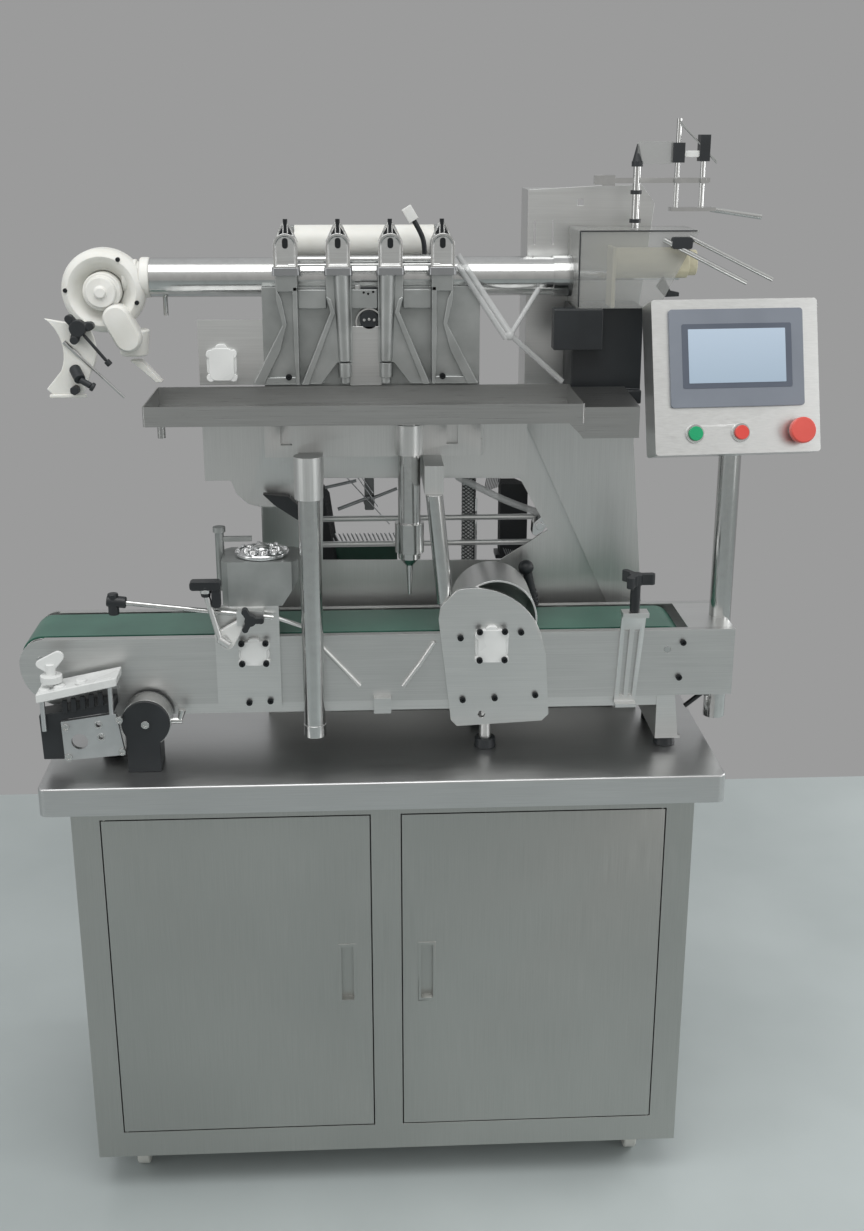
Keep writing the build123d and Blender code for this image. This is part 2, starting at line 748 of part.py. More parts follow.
with BuildPart() as valve_rotor:
    rod((valve_x, valve_front - 12, valve_z), (valve_x, valve_front, valve_z), 24)
    rod((valve_x, valve_front, valve_z), (valve_x, valve_front + valve_depth - 10 - part_gap, valve_z), rotor_r)
    rod((valve_x, valve_front - 18, valve_z), (valve_x, valve_front - 12, valve_z), 9)
keep_on_table(valve_rotor, "valve_rotor")

# White swing bracket that hangs on a stud in front of the valve
stud_x = -520.0
stud_z = 1462.0
with BuildPart() as swing_bracket:
    with BuildSketch(front_plane(-72)):
        with BuildLine():
            left_top = (-572, 1474)
            left_mid = (-552, 1420)
            left_low = (-575, 1362)
            Line((-530, 1480), left_top)
            ThreePointArc(left_top, (-556, 1448), left_mid)
            ThreePointArc(left_mid, (-560, 1390), left_low)
            Line(left_low, (-562, 1352))
            Line((-562, 1352), (-512, 1362))
            Line((-512, 1362), (-508, 1440))
            ThreePointArc((-508, 1440), (-508, 1465), (-530, 1480))
        make_face()
    extrude(amount=-8)
    outline(front_plane(-72), ((-575, 1362), (-562, 1352), (-554, 1358), (-566, 1370)), 26)
    rod((stud_x, -80, stud_z), (stud_x, valve_front - part_gap, stud_z), 5)
    star(front_plane(-80), (stud_x, stud_z), 24, 12, 18)
    rod((-514, -90, 1456), (-476, -90, 1406), 4)
    rod((-532, -72, 1366), (-532, -96, 1366), 8)
    rod((-520, -72, 1386), (-520, -100, 1386), 9)
keep_on_table(swing_bracket, "swing_bracket")

# Drive of the piston, behind a clear guard at the right of the head, with a sheet guard behind
guard_left = cyl_right + 25
guard_low_z = 1484.0
guard_top_z = 1604.0
guard_front = -60.0
guard_rear = 56.0
with BuildPart() as front_guard:
    outline(
        front_plane(guard_front),
        ((guard_left, guard_low_z), (390, guard_low_z), (450, guard_top_z), (guard_left, guard_top_z)),
        -(guard_rear - guard_front),
    )
    outline(
        front_plane(guard_front + 2.5),
        (
            (guard_left + 2.5, guard_low_z - cut_over),
            (394, guard_low_z - cut_over),
            (460, guard_top_z - 2.5),
            (guard_left + 2.5, guard_top_z - 2.5),
        ),
        -(guard_rear - guard_front),
        mode=Mode.SUBTRACT,
    )
    with BuildSketch(side_plane(guard_left - cut_over)):
        with Locations((cyl_y, cyl_z)):
            Circle(rod_r + 4)
    extrude(amount=5, mode=Mode.SUBTRACT)
keep_on_table(front_guard, "front_guard")

motor_y = -28.0
motor_z = 1552.0
with BuildPart() as head_motor:
    rod((320, motor_y, motor_z), (438, motor_y, motor_z), 24)
    rod((438, motor_y, motor_z), (452, motor_y, motor_z), 20)
    block((314, 320), (-55, -2), (guard_low_z, motor_z + 26))
keep_on_table(head_motor, "head_motor")

with BuildPart() as rear_guard:
    guard_shape = ((192, head_top), (192, 1661), (325, 1668), (378, 1668), (400, 1640), (366, head_top))
    outline(front_plane(62), guard_shape, -sheet)
    block((192, 192 + sheet), (62, column_depth), (head_top, 1661))
    block((192, 325), (62, column_depth), (1659, 1661))
    block((273, 283), (60, 66), (1636, 1646), mode=Mode.SUBTRACT)
    for slot_x in (204, 234):
        block((slot_x - 1.5, slot_x + 1.5), (60, 66), (1575, 1612), mode=Mode.SUBTRACT)
keep_on_table(rear_guard, "rear_guard")

with BuildPart() as shroud:
    block((256, 370), (-40, 56), (head_top, guard_low_z))
    outline(front_plane(-40), ((300, head_top), (370, head_top), (370, 1352), (340, 1352)), 12)
    block((222, 300), (-70, -40), (1420, guard_low_z))
keep_on_table(shroud, "shroud")

# Sensor stand on top of the clear guard
spindle_x = 357.0
arm_z = 1677.0
with BuildPart() as sensor_stand:
    rod((spindle_x, 0, guard_top_z), (spindle_x, 0, 1698), 6)
    block((303, 474), (-4, 4), (arm_z - 4, arm_z + 4))
    block((303, 322), (-6, 6), (arm_z - 8, arm_z + 8))
    rod((421, 0, 1636), (421, 0, 1770), 4)
    rod((462, 0, 1636), (462, 0, 1745), 4)
    block((412, 484), (-12, 12), (1630, 1636))
    rod((478, 0, 1633), (560, -4, 1621), 4.5)
    rod((392, guard_front - 4, 1590), (520, -92, 1526), 4)
    rod((432, guard_front - 4, 1594), (561, -92, 1531), 4)
keep_on_table(sensor_stand, "sensor_stand")

with BuildPart() as sensor_blocks:
    for clamp_x, low_z, high_z, width in ((421, 1704, 1734, 18), (462, 1706, 1746, 16)):
        block((clamp_x - width / 2, clamp_x + width / 2), (-11, 11), (low_z, high_z))
        with BuildSketch(Plane.XY.offset(low_z)):
            with Locations((clamp_x, 0)):
                Circle(4 + run_fit)
        extrude(amount=high_z - low_z, mode=Mode.SUBTRACT)
    with BuildSketch(Plane.XY.offset(1698)):
        with Locations((spindle_x, 0)):
            Circle(9)
    extrude(amount=8)
    with BuildSketch(Plane.XY.offset(1706)):
        with Locations((spindle_x, 0)):
            Circle(8)
    extrude(amount=26, taper=14)
    for collar_z in (1612, 1656):
        with BuildSketch(Plane.XY.offset(collar_z)):
            with Locations((spindle_x, 0)):
                Circle(9)
                Circle(6, mode=Mode.SUBTRACT)
        extrude(amount=6)
keep_on_table(sensor_blocks, "sensor_blocks")

# Gear plate and hood over the belt
plate_t = 8.0
hood_x = 126.0
hood_z = 1008.0
hood_r = 66.0
with BuildPart() as drive_plate:
    with BuildSketch(front_plane(conv_front)):
        with BuildLine():
            Line((53, 840), (63, 829))
            Line((63, 829), (202, 836))
            Line((202, 836), (213, 847))
            Line((213, 847), (206, 951))
            Line((206, 951), (197, 987))
            ThreePointArc((197, 987), (140, 1052), (63, 1061))
            Line((63, 1061), (36, 1034))
            Line((36, 1034), (33, 1012))
            Line((33, 1012), (53, 840))
        make_face()
    extrude(amount=plate_t)
    with BuildSketch(front_plane(conv_front)):
        with Locations((103, 849)):
            Circle(6)
    extrude(amount=plate_t, mode=Mode.SUBTRACT)
    hood_low_z = rail_top + 6
    with BuildSketch(front_plane(conv_front)):
        with Locations((hood_x, hood_z)):
            Circle(hood_r)
        with Locations((hood_x, hood_low_z - hood_r)):
            Rectangle(3 * hood_r, 2 * hood_r, mode=Mode.SUBTRACT)
    extrude(amount=-112)
    with BuildSketch(front_plane(conv_front)):
        with Locations((hood_x, hood_z)):
            Circle(hood_r - 3)
    extrude(amount=-109, mode=Mode.SUBTRACT)
keep_on_table(drive_plate, "drive_plate")

with BuildPart() as motor_caps:
    for cap_x, cap_z, width, height, face_y in (
        (118, 971, 55, 63, conv_front - plate_t),
        (-261, 965, 51, 48, conv_front - plate_t),
        (-307, 1398, 50, 60, arm_back),
    ):
        with BuildSketch(front_plane(face_y)):
            with Locations((cap_x, cap_z)):
                RectangleRounded(width, height, 14)
        extrude(amount=10)
keep_on_table(motor_caps, "motor_caps")

# Left bracket plate with the dial housing on top, and the plate at the head's left
dial_x = -246.0
dial_y = -148.0
housing_low_z = 1040.0
housing_top_z = 1112.0
with BuildPart() as left_bracket:
    block((-322, -220), (conv_front - plate_t, conv_front), (868, housing_low_z))
    block((-285, -243), (conv_front - plate_t - 20, conv_front - plate_t), (1014, 1038))
    rod_start = (-463, conv_front - plate_t - 10, 1053)
    rod_end = (-228, conv_front - plate_t - 10, 1024)
    with BuildSketch(Plane(origin=rod_start, z_dir=Vector(*rod_end) - Vector(*rod_start))):
        Circle(4 + run_fit)
    extrude(amount=260, mode=Mode.SUBTRACT)
    block((-344, carrier_left), (arm_back, arm_back + 4), (head_top + tray_h + 2, 1466))
    elbow_y = conv_front - plate_t - 20
    rod((-331, elbow_y, 1070), (-312, elbow_y, 992), 5)
    rod((-314, elbow_y, 994), (-299, elbow_y, 983), 7)
    outline(front_plane(conv_front - plate_t), ((-320, 998), (-302, 1000), (-294, 988), (-306, 980)), 20)
    rod((-331, elbow_y, 1070), (-331, elbow_y, 1086), 9)
    block((-352, -310), (elbow_y - 8, elbow_y + 8), (1076, 1088))
    wire_y = conv_front - 4
    for points in (((-181, 1003), (-161, 977), (-94, 901)), ((27, 974), (4, 938), (-24, 899))):
        for start, end in zip(points, points[1:]):
            rod((start[0], wire_y, start[1]), (end[0], wire_y, end[1]), 3.5)
        for bend in points[1:-1]:
            with Locations((bend[0], wire_y, bend[1])):
                Sphere(3.5)
    rod((-222, wire_y, 1018), (-181, wire_y, 1003), 3.5)
    block((-72, -44), (conv_front - 14, conv_front), (856, 882))
keep_on_table(left_bracket, "left_bracket")

with BuildPart() as dial_housing:
    outline(
        front_plane(conv_front - plate_t),
        (
            (-308, housing_low_z),
            (-214, housing_low_z),
            (-188, 1080),
            (-188, housing_top_z),
            (-308, housing_top_z),
        ),
        -90,
    )
    chamfer(dial_housing.edges().filter_by(Axis.Z), length=10)
    with BuildSketch(Plane.XY.offset(housing_low_z)):
        with Locations((dial_x, dial_y)):
            Circle(shaft_r + run_fit)
    extrude(amount=housing_top_z - housing_low_z, mode=Mode.SUBTRACT)
    rod((-313, -140, 1052), (-313, -140, 1148), 7)
    rod((-313, -140, 1148), (-313, -140, 1156), 10)
    block((-313, -262), (-143, -137), (1132, 1140))
keep_on_table(dial_housing, "dial_housing")

with BuildPart() as dial:
    with BuildSketch(Plane.XY.offset(housing_top_z + part_gap)):
        with Locations((dial_x, dial_y)):
            Circle(43)
    extrude(amount=9)
    with BuildSketch(Plane.XY.offset(housing_top_z + 9 + part_gap)):
        with Locations((dial_x, dial_y)):
            Circle(16)
            with PolarLocations(31, 6):
                Circle(6)
    extrude(amount=7)
    with BuildSketch(Plane.XY.offset(housing_low_z + 8)):
        with Locations((dial_x, dial_y)):
            Circle(shaft_r)
    extrude(amount=housing_top_z - housing_low_z)
keep_on_table(dial, "dial")

with BuildPart() as guide_rod:
    rod(rod_start, rod_end, 4)
    rod((-476, conv_front - plate_t - 10, 1054.6), (-463, conv_front - plate_t - 10, 1053), 8)
    rod((-476, conv_front - plate_t - 10, 1066), (-476, conv_front - plate_t - 10, 1034), 7)
keep_on_table(guide_rod, "guide_rod")

with BuildPart() as rod_knob:
    knob_y = conv_front - plate_t - 20 - part_gap
    star(front_plane(knob_y), (-263, 1026), 21, 9, 14)
keep_on_table(rod_knob, "rod_knob")


# Slotted guide clamp at the right, closed by a lobed knob
with BuildPart() as guide_clamp:
    outline(front_plane(conv_front), ((320, 861), (354, 861), (368, 1023), (328, 1023)), 6)
    for low, high in ((328, 336), (342, 352)):
        outline(
            front_plane(conv_front),
            ((low, 876), (low + 7, 876), (high + 5, 990), (high - 3, 990)),
            6,
            mode=Mode.SUBTRACT,
        )
    block((326, 368), (conv_front - 24, conv_front), (1015, 1023))
    block((320, 354), (conv_front - 20, conv_front), (861, 867))
    with BuildSketch(Plane.XY.offset(1015)):
        with Locations((346, conv_front - 13)):
            Circle(3 + run_fit)
    extrude(amount=8, mode=Mode.SUBTRACT)
keep_on_table(guide_clamp, "guide_clamp")

with BuildPart() as clamp_knob:
    rod((346, conv_front - 13, 1023 + part_gap), (346, conv_front - 13, 1068), 8)
    rod((346, conv_front - 13, 1015), (346, conv_front - 13, 1024), 3)
    star(Plane.XY.offset(1068), (346, conv_front - 13), 30, 11, 18)
keep_on_table(clamp_knob, "clamp_knob")

# Belt drive at the left: an aluminium gearbox frame on the rail, and black housings
with BuildPart() as drive_frame:
    outline(front_plane(-240), ((-561, 806), (-466, 814), (-477, 884), (-563, 872)), 8)
    with BuildSketch(front_plane(-240)):
        with Locations((-536, 838)):
            Circle(13)
        with Locations((-505, 866), (-502, 845)):
            Circle(4)
    extrude(amount=8, mode=Mode.SUBTRACT)
    outline(front_plane(-200), ((-596, 906), (-474, 932), (-473, 944), (-596, 918)), 50)
    for pillar_at_x, low_z, high_z in ((-484, 883, 931), (-590, 868, 908)):
        rod((pillar_at_x, -244, low_z - 12), (pillar_at_x, -244, high_z), 4)
    block((-560, -480), (-200, conv_front), (880, 908))
keep_on_table(drive_frame, "drive_frame")

with BuildPart() as drive_body:
    body_shape = ((-596, 805), (-561, 805), (-561, 872), (-480, 884), (-480, 900), (-598, 880))
    outline(front_plane(-200), body_shape, 40)
    with BuildSketch(front_plane(-190)):
        with Locations((-433, 862)):
            Circle(38)
    extrude(amount=50)
    block((-465, -412), (-240, -190), (deck_z, 862))
    rod((-433, -190, 862), (-433, conv_front, 862), 12)
keep_on_table(drive_body, "drive_body")

with BuildPart() as wing_knob:
    rod((-576, -228, 924.6), (-576, -228, 975), 8)
    block((-596, -556), (-231, -225), (951, 983))
    rod((-576, -228, 932), (-576, -228, 944), 18)
keep_on_table(wing_knob, "wing_knob")

# Nozzle: the diving tube and its tip
collar_low_z = nozzle_tip_z + 73
with BuildPart() as nozzle_tube:
    rod((nozzle_x, nozzle_y, collar_low_z + 49), (nozzle_x, nozzle_y, nozzle_top_z), nozzle_r)
    with BuildSketch(Plane.XY.offset(collar_low_z + 49)):
        with Locations((nozzle_x, nozzle_y)):
            Circle(nozzle_r - 4)
    extrude(amount=300, mode=Mode.SUBTRACT)
    with BuildSketch(front_plane(nozzle_y)):
        with BuildLine():
            Polyline(
                (nozzle_x, nozzle_tip_z),
                (nozzle_x + 3, nozzle_tip_z),
                (nozzle_x + 6, nozzle_tip_z + 50),
                (nozzle_x + 16, nozzle_tip_z + 62),
                (nozzle_x + nozzle_r, nozzle_tip_z + 62),
                (nozzle_x + nozzle_r, collar_low_z),
                (nozzle_x + collar_r, collar_low_z),
                (nozzle_x + collar_r, collar_low_z + 49),
                (nozzle_x, collar_low_z + 49),
                close=True,
            )
        make_face()
    revolve(axis=Axis((nozzle_x, nozzle_y, 0), (0, 0, 1)))
    with BuildSketch(Plane.XY.offset(nozzle_tip_z)):
        with Locations((nozzle_x, nozzle_y)):
            Circle(1.8)
    extrude(amount=collar_low_z + 49 - nozzle_tip_z, mode=Mode.SUBTRACT)
keep_on_table(nozzle_tube, "nozzle_tube")

# Operator panel on its post: the box turns on the post, and three buttons travel in its face
tilt = radians(panel_tilt)
yaw = radians(panel_yaw)
normal = Vector(sin(yaw) * cos(tilt), -cos(yaw) * cos(tilt), sin(tilt))
across = Vector(cos(yaw), sin(yaw), 0)
panel_face = Plane(origin=(panel_x, panel_y, panel_z), x_dir=across, z_dir=normal)
button_spots = ((-69, button_row), (4, button_row), (97, button_row))

with BuildPart() as panel_post:
    rod((post_x, post_y, post_low_z), (post_x, post_y, post_top_z), post_r)
    with BuildSketch(Plane.XY.offset(post_low_z)):
        with Locations((post_x, post_y)):
            Circle(post_r - 2)
    extrude(amount=post_top_z - post_low_z - 3, mode=Mode.SUBTRACT)
keep_on_table(panel_post, "panel_post")

with BuildPart() as panel_box:
    with BuildSketch(panel_face):
        RectangleRounded(panel_w, panel_h, 5)
    extrude(amount=-panel_d)
    with BuildSketch(panel_face.offset(-sheet)):
        RectangleRounded(panel_w - 2 * sheet, panel_h - 2 * sheet, 3)
    extrude(amount=-(panel_d - 2 * sheet), mode=Mode.SUBTRACT)
    with BuildSketch(panel_face):
        with Locations((0, hmi_up)):
            Rectangle(hmi_w - 18, hmi_h - 16)
        with Locations(*button_spots):
            Circle(button_r + run_fit)
    extrude(amount=-sheet, mode=Mode.SUBTRACT)
    with BuildSketch(panel_face):
        with Locations(*button_spots):
            Circle(bezel_r)
            Circle(button_r + run_fit, mode=Mode.SUBTRACT)
    extrude(amount=3)
    with BuildSketch(panel_face.offset(-panel_d)):
        with Locations((15, -62)):
            Rectangle(56, 50)
    extrude(amount=-34)
    with BuildSketch(Plane.XY.offset(post_top_z - 55)):
        with Locations((post_x, post_y)):
            Circle(post_r + 7)
    extrude(amount=58)
    with BuildSketch(Plane.XY.offset(post_top_z - 90)):
        with Locations((post_x, post_y)):
            Circle(post_r + run_fit)
    extrude(amount=90 + part_gap, mode=Mode.SUBTRACT)
keep_on_table(panel_box, "panel_box")

with BuildPart() as hmi_screen:
    with BuildSketch(panel_face):
        with Locations((0, hmi_up)):
            RectangleRounded(hmi_w, hmi_h, 5)
    extrude(amount=5)
    with BuildSketch(panel_face):
        with Locations((0, hmi_up)):
            Rectangle(hmi_w - 20, hmi_h - 18)
    extrude(amount=-28)
    with BuildSketch(panel_face.offset(5)):
        with Locations((0, hmi_up)):
            Rectangle(154, 82)
    extrude(amount=-1, mode=Mode.SUBTRACT)
keep_on_table(hmi_screen, "hmi_screen")

for button_name, spot, cap_r, cap_low, cap_h in (
    ("start_button", button_spots[0], button_r, 3, 5),
    ("stop_button", button_spots[1], button_r, 3, 5),
    ("estop_button", button_spots[2], estop_r, 9, 13),
):
    with BuildPart() as button:
        with BuildSketch(panel_face.offset(-14)):
            with Locations(spot):
                Circle(button_r)
        extrude(amount=14 + cap_low)
        with BuildSketch(panel_face.offset(cap_low)):
            with Locations(spot):
                Circle(cap_r)
        extrude(amount=cap_h)
    keep_on_table(button, button_name)

# Clamp lever under the end cover
lever_x = clamp_left + 6
lever_z = rail_bottom - 9
with BuildPart() as clamp_lever:
    rod((lever_x, -132 - part_gap, lever_z), (lever_x, -148, lever_z), 8)
    rod((lever_x, -132 - part_gap, lever_z), (lever_x, -94, lever_z), 3)
    rod((lever_x, -141, lever_z), (lever_x - 34, -141, lever_z - 28), 4)
keep_on_table(clamp_lever, "clamp_lever")

# Hex socket screws that hold the plates, as one set of separate screws
screw_spots = (
    [(118 + i * 20, 971 + j * 24, conv_front - plate_t - 10) for i in (-1, 1) for j in (-1, 1)]
    + [(-261 + i * 19, 965 + j * 17, conv_front - plate_t - 10) for i in (-1, 1) for j in (-1, 1)]
    + [(68, 982, conv_front - plate_t), (165, 990, conv_front - plate_t), (72, 876, conv_front - plate_t)]
    + [(124, 878, conv_front - plate_t), (190, 882, conv_front - plate_t)]
    + [(-272, 878, conv_front - plate_t), (-238, 880, conv_front - plate_t)]
    + [(430, 965, conv_front), (426, 905, conv_front)]
    + [(arm_x, 1379, arm_front + 4) for arm_x in (arm_xs[0], arm_xs[3])]
)
with BuildPart() as cap_screws:
    for screw_x, screw_z, screw_y in screw_spots:
        with BuildSketch(front_plane(screw_y)):
            with Locations((screw_x, screw_z)):
                Circle(5)
        extrude(amount=5)
        with BuildSketch(front_plane(screw_y - 5)):
            with Locations((screw_x, screw_z)):
                RegularPolygon(2.5, 6)
        extrude(amount=-3, mode=Mode.SUBTRACT)
keep_on_table(cap_screws, "cap_screws")
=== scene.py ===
# %% [markdown]
# # A bench-height filling machine
# The solids of the machine come in as a fixed frame, in metres, with +Z up and +X to the right of
# someone who faces the cabinet doors. Each solid already has the right size and place. What it
# lacks is what the eye wants: rounded edges, brushed grain, castings with soft corners, woven hose.
# So this scene dresses the solids, and rebuilds those whose real form is richer than the solid's.

# %% Load the frame
import json
from math import atan2, cos, pi, radians, sin

import bmesh
import bpy
from mathutils import Matrix, Vector


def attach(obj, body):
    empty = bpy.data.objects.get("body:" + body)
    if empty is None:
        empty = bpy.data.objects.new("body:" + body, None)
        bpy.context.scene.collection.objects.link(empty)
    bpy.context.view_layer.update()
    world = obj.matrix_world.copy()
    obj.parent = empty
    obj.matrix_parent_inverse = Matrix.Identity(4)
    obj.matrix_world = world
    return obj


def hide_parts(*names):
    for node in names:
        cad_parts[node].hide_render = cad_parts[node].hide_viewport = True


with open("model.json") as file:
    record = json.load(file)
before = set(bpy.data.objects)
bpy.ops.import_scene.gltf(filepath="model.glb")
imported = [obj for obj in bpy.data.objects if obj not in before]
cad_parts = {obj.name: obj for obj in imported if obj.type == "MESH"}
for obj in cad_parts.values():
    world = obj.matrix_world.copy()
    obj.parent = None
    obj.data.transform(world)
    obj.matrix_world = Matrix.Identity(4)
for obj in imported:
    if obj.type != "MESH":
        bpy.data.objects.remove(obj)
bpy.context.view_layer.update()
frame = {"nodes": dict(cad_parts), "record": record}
nodes = frame["nodes"]
body_of_node = {}
for body_name, members in frame["record"]["behaviour"]["bodies"].items():
    for member in members:
        body_of_node[member] = body_name

# %% [markdown]
# ## Camera
# The camera was solved from the straight edges of the machine: it stands about 2.4 m in front of it
# at eye height and looks down by 18 degrees. The lens is given by its focal length in pixels of the
# photograph, which Blender wants as a share of the sensor's height.

# %% Camera
PHOTO_HEIGHT_PX = 1231
FOCAL_PX = 1458.3
SENSOR_MM = 36.0
camera_data = bpy.data.cameras.new("camera")
camera_data.sensor_fit = "VERTICAL"
camera_data.sensor_height = SENSOR_MM
camera_data.lens = SENSOR_MM * FOCAL_PX / PHOTO_HEIGHT_PX
camera_data.clip_end = 100
camera = bpy.data.objects.new("camera", camera_data)
camera.location = (-0.0894, -2.3919, 1.7484)
camera.rotation_euler = (radians(90 - 18.31), 0, radians(-2.91))
bpy.context.collection.objects.link(camera)
bpy.context.scene.camera = camera
print("lens", round(camera_data.lens, 2), "mm")

# %% [markdown]
# ## Colours and nodes
# Colours are written as sRGB hex values, the way a colour picker shows them, and one function turns
# them to the linear values that the renderer works in. A second small function adds a node with its
# settings and its links, so that each material below reads as a list of what it is made of.


# %% Helpers for materials
def linear(hex_value):
    """Turn an sRGB hex colour into linear RGBA."""
    channels = []
    for i in (1, 3, 5):
        c = int(hex_value[i:i + 2], 16) / 255
        channels.append(c / 12.92 if c <= 0.04045 else ((c + 0.055) / 1.055) ** 2.4)
    return (*channels, 1)


def add(tree, kind, sockets=None, links=None, **settings):
    """Add one node, with socket values, links into its sockets, and settings."""
    made = tree.nodes.new(kind)
    for name, value in settings.items():
        setattr(made, name, value)
    for name, value in (sockets or {}).items():
        made.inputs[name].default_value = value
    for name, source in (links or {}).items():
        tree.links.new(source, made.inputs[name])
    return made


def new_material(name):
    """Start a material and return it with its tree, its shader and its object coordinates."""
    material = bpy.data.materials.new(name)
    material.use_nodes = True
    tree = material.node_tree
    shader = tree.nodes["Principled BSDF"]
    place = add(tree, "ShaderNodeTexCoord").outputs["Object"]
    return material, tree, shader, place


def ramp(tree, source, low, high, low_colour, high_colour):
    """Map a value between two positions to two colours."""
    made = add(tree, "ShaderNodeValToRGB", links={"Fac": source})
    made.color_ramp.elements[0].position = low
    made.color_ramp.elements[1].position = high
    made.color_ramp.elements[0].color = low_colour
    made.color_ramp.elements[1].color = high_colour
    return made.outputs["Color"]


# %% [markdown]
# ## Stainless sheet
# The cabinet, rails and head are stainless steel sheet with a brushed finish. An abrasive belt
# leaves fine parallel scratches, so highlights smear across the grain. Noise that is stretched a
# hundred times along the grain gives that: it moves the roughness a little and tilts the surface a
# little. A real scratch is about 0.05 mm wide and would not show, so these are about 1 mm wide.


# %% Brushed stainless steel
def brushed_steel(name, grain, colour, dark, roughness=0.36, tilt=0.05, cloud_m=0.35):
    """Brushed stainless; grain is the axis (x, y or z) that the scratches run along."""
    material, tree, shader, place = new_material(name)
    across = 900.0
    along = 9.0
    stretch = {"x": (along, across, across), "y": (across, along, across), "z": (across, across, along)}
    scratches = add(
        tree,
        "ShaderNodeTexNoise",
        sockets={"Scale": 1.0, "Detail": 3.0, "Roughness": 0.65},
        links={"Vector": add(tree, "ShaderNodeMapping", sockets={"Scale": stretch[grain]},
                             links={"Vector": place}).outputs["Vector"]},
    ).outputs["Fac"]
    clouds = add(
        tree,
        "ShaderNodeTexNoise",
        sockets={"Scale": 1 / cloud_m, "Detail": 2.0},
        links={"Vector": place},
    ).outputs["Fac"]
    streaks = ramp(tree, scratches, 0.25, 0.75, linear(dark), linear(colour))
    patina = ramp(tree, clouds, 0.3, 0.7, (0.90, 0.90, 0.90, 1), (1, 1, 1, 1))
    tint = add(tree, "ShaderNodeMix", data_type="RGBA", blend_type="MULTIPLY")
    tint.inputs["Factor"].default_value = 1.0
    tree.links.new(streaks, tint.inputs["A"])
    tree.links.new(patina, tint.inputs["B"])
    tree.links.new(tint.outputs["Result"], shader.inputs["Base Color"])
    spread = add(
        tree,
        "ShaderNodeMapRange",
        sockets={"From Min": 0.3, "From Max": 0.7, "To Min": roughness - 0.06, "To Max": roughness + 0.08},
        links={"Value": scratches},
    ).outputs["Result"]
    tree.links.new(spread, shader.inputs["Roughness"])
    bump = add(tree, "ShaderNodeBump", sockets={"Strength": tilt, "Distance": 0.001}, links={"Height": scratches})
    tree.links.new(bump.outputs["Normal"], shader.inputs["Normal"])
    shader.inputs["Metallic"].default_value = 1.0
    return material


# One brushed stainless in several tones. The upright copy is the base. The column, level, table and bright copies are
# painted lighter, and the tray copy is painted darker, as painted light for how light falls on each part. The copy in
# shade is painted shade.
steel_upright = brushed_steel("stainless sheet, brushed upright", "z", "#bcbdba", "#afb0ad")
steel_column_painted_lighter = brushed_steel("stainless column, brushed upright, painted lighter", "z", "#dedfde", "#d0d1d0", roughness=0.38)
steel_level_painted_lighter = brushed_steel("stainless sheet, brushed level, painted lighter", "x", "#d8d9d8", "#c8c9c8")
steel_table_painted_lighter = brushed_steel("stainless table, brushed level, painted lighter", "x", "#d2d3d3", "#c2c3c3", roughness=0.34)
steel_painted_brightest = brushed_steel("stainless sheet, painted brightest", "x", "#e4e5e4", "#d8d9d8", roughness=0.34)
steel_tray_painted_darker = brushed_steel("stainless tray, brushed level, painted darker", "x", "#b4b5b4", "#a6a7a6", roughness=0.32)
steel_dark = brushed_steel("stainless in shade, brushed upright", "z", "#7c7e7e", "#6f7171")

# %% [markdown]
# ## Polished bar and tube
# Posts, pillars and the metering cylinder are drawn tube, polished until it mirrors the room. On a
# round bar the mirror squeezes the whole room into bright and dark stripes, so the finish needs
# little of its own: a low roughness with faint drawing lines along the bar.


# %% Polished steel
def polished_steel(name, colour, roughness=0.14):
    """Polished tube and bar with faint smudges."""
    material, tree, shader, place = new_material(name)
    smudge = add(
        tree, "ShaderNodeTexNoise", sockets={"Scale": 60.0, "Detail": 4.0}, links={"Vector": place}
    ).outputs["Fac"]
    tree.links.new(
        ramp(tree, smudge, 0.35, 0.7, linear(colour), tuple(0.9 * c for c in linear(colour)[:3]) + (1,)),
        shader.inputs["Base Color"],
    )
    spread = add(
        tree,
        "ShaderNodeMapRange",
        sockets={"From Min": 0.35, "From Max": 0.65, "To Min": roughness, "To Max": roughness + 0.07},
        links={"Value": smudge},
    ).outputs["Result"]
    tree.links.new(spread, shader.inputs["Roughness"])
    shader.inputs["Metallic"].default_value = 1.0
    return material


steel_polished = polished_steel("polished stainless tube", "#c9cac9")
steel_zinc = polished_steel("zinc-plated steel", "#a4a6a8", roughness=0.3)
steel_dark_screw = polished_steel("blackened screw steel", "#3a3c3e", roughness=0.35)
chrome = polished_steel("bright chrome plate", "#e6e7e8", roughness=0.07)


# %% [markdown]
# ## Cast and blasted metal
# The clamp castings and the gearbox frame were cast and then bead blasted. Blasting leaves a fine
# even pitting, which is a small-scale noise in the bump and a roughness near a half.


# %% Blasted castings
def blasted_metal(name, colour, dark, grain_mm=0.8, roughness=0.46, pits=0.12):
    """A blasted casting, with pits as wide as grain_mm."""
    material, tree, shader, place = new_material(name)
    pitting = add(
        tree,
        "ShaderNodeTexNoise",
        sockets={"Scale": 1000 / grain_mm / 2, "Detail": 2.0},
        links={"Vector": place},
    ).outputs["Fac"]
    wear = add(
        tree, "ShaderNodeTexNoise", sockets={"Scale": 22.0, "Detail": 3.0}, links={"Vector": place}
    ).outputs["Fac"]
    tree.links.new(ramp(tree, wear, 0.3, 0.7, linear(dark), linear(colour)), shader.inputs["Base Color"])
    bump = add(tree, "ShaderNodeBump", sockets={"Strength": pits, "Distance": 0.0005}, links={"Height": pitting})
    tree.links.new(bump.outputs["Normal"], shader.inputs["Normal"])
    shader.inputs["Metallic"].default_value = 1.0
    shader.inputs["Roughness"].default_value = roughness
    return material


cast_steel = blasted_metal("bead-blasted casting", "#b4b7b6", "#a1a4a3")
machined_aluminium = blasted_metal("machined aluminium", "#cfd1d2", "#c0c2c3", grain_mm=1.4, roughness=0.34, pits=0.05)


# %% [markdown]
# ## Plastics and rubber
# White parts are turned or moulded from PTFE and acetal: a soft, slightly waxy white. The knobs and
# the drive covers are black ABS with a fine spark-eroded texture. Light scatters a little way into
# the white plastic, which rounds its shadows.


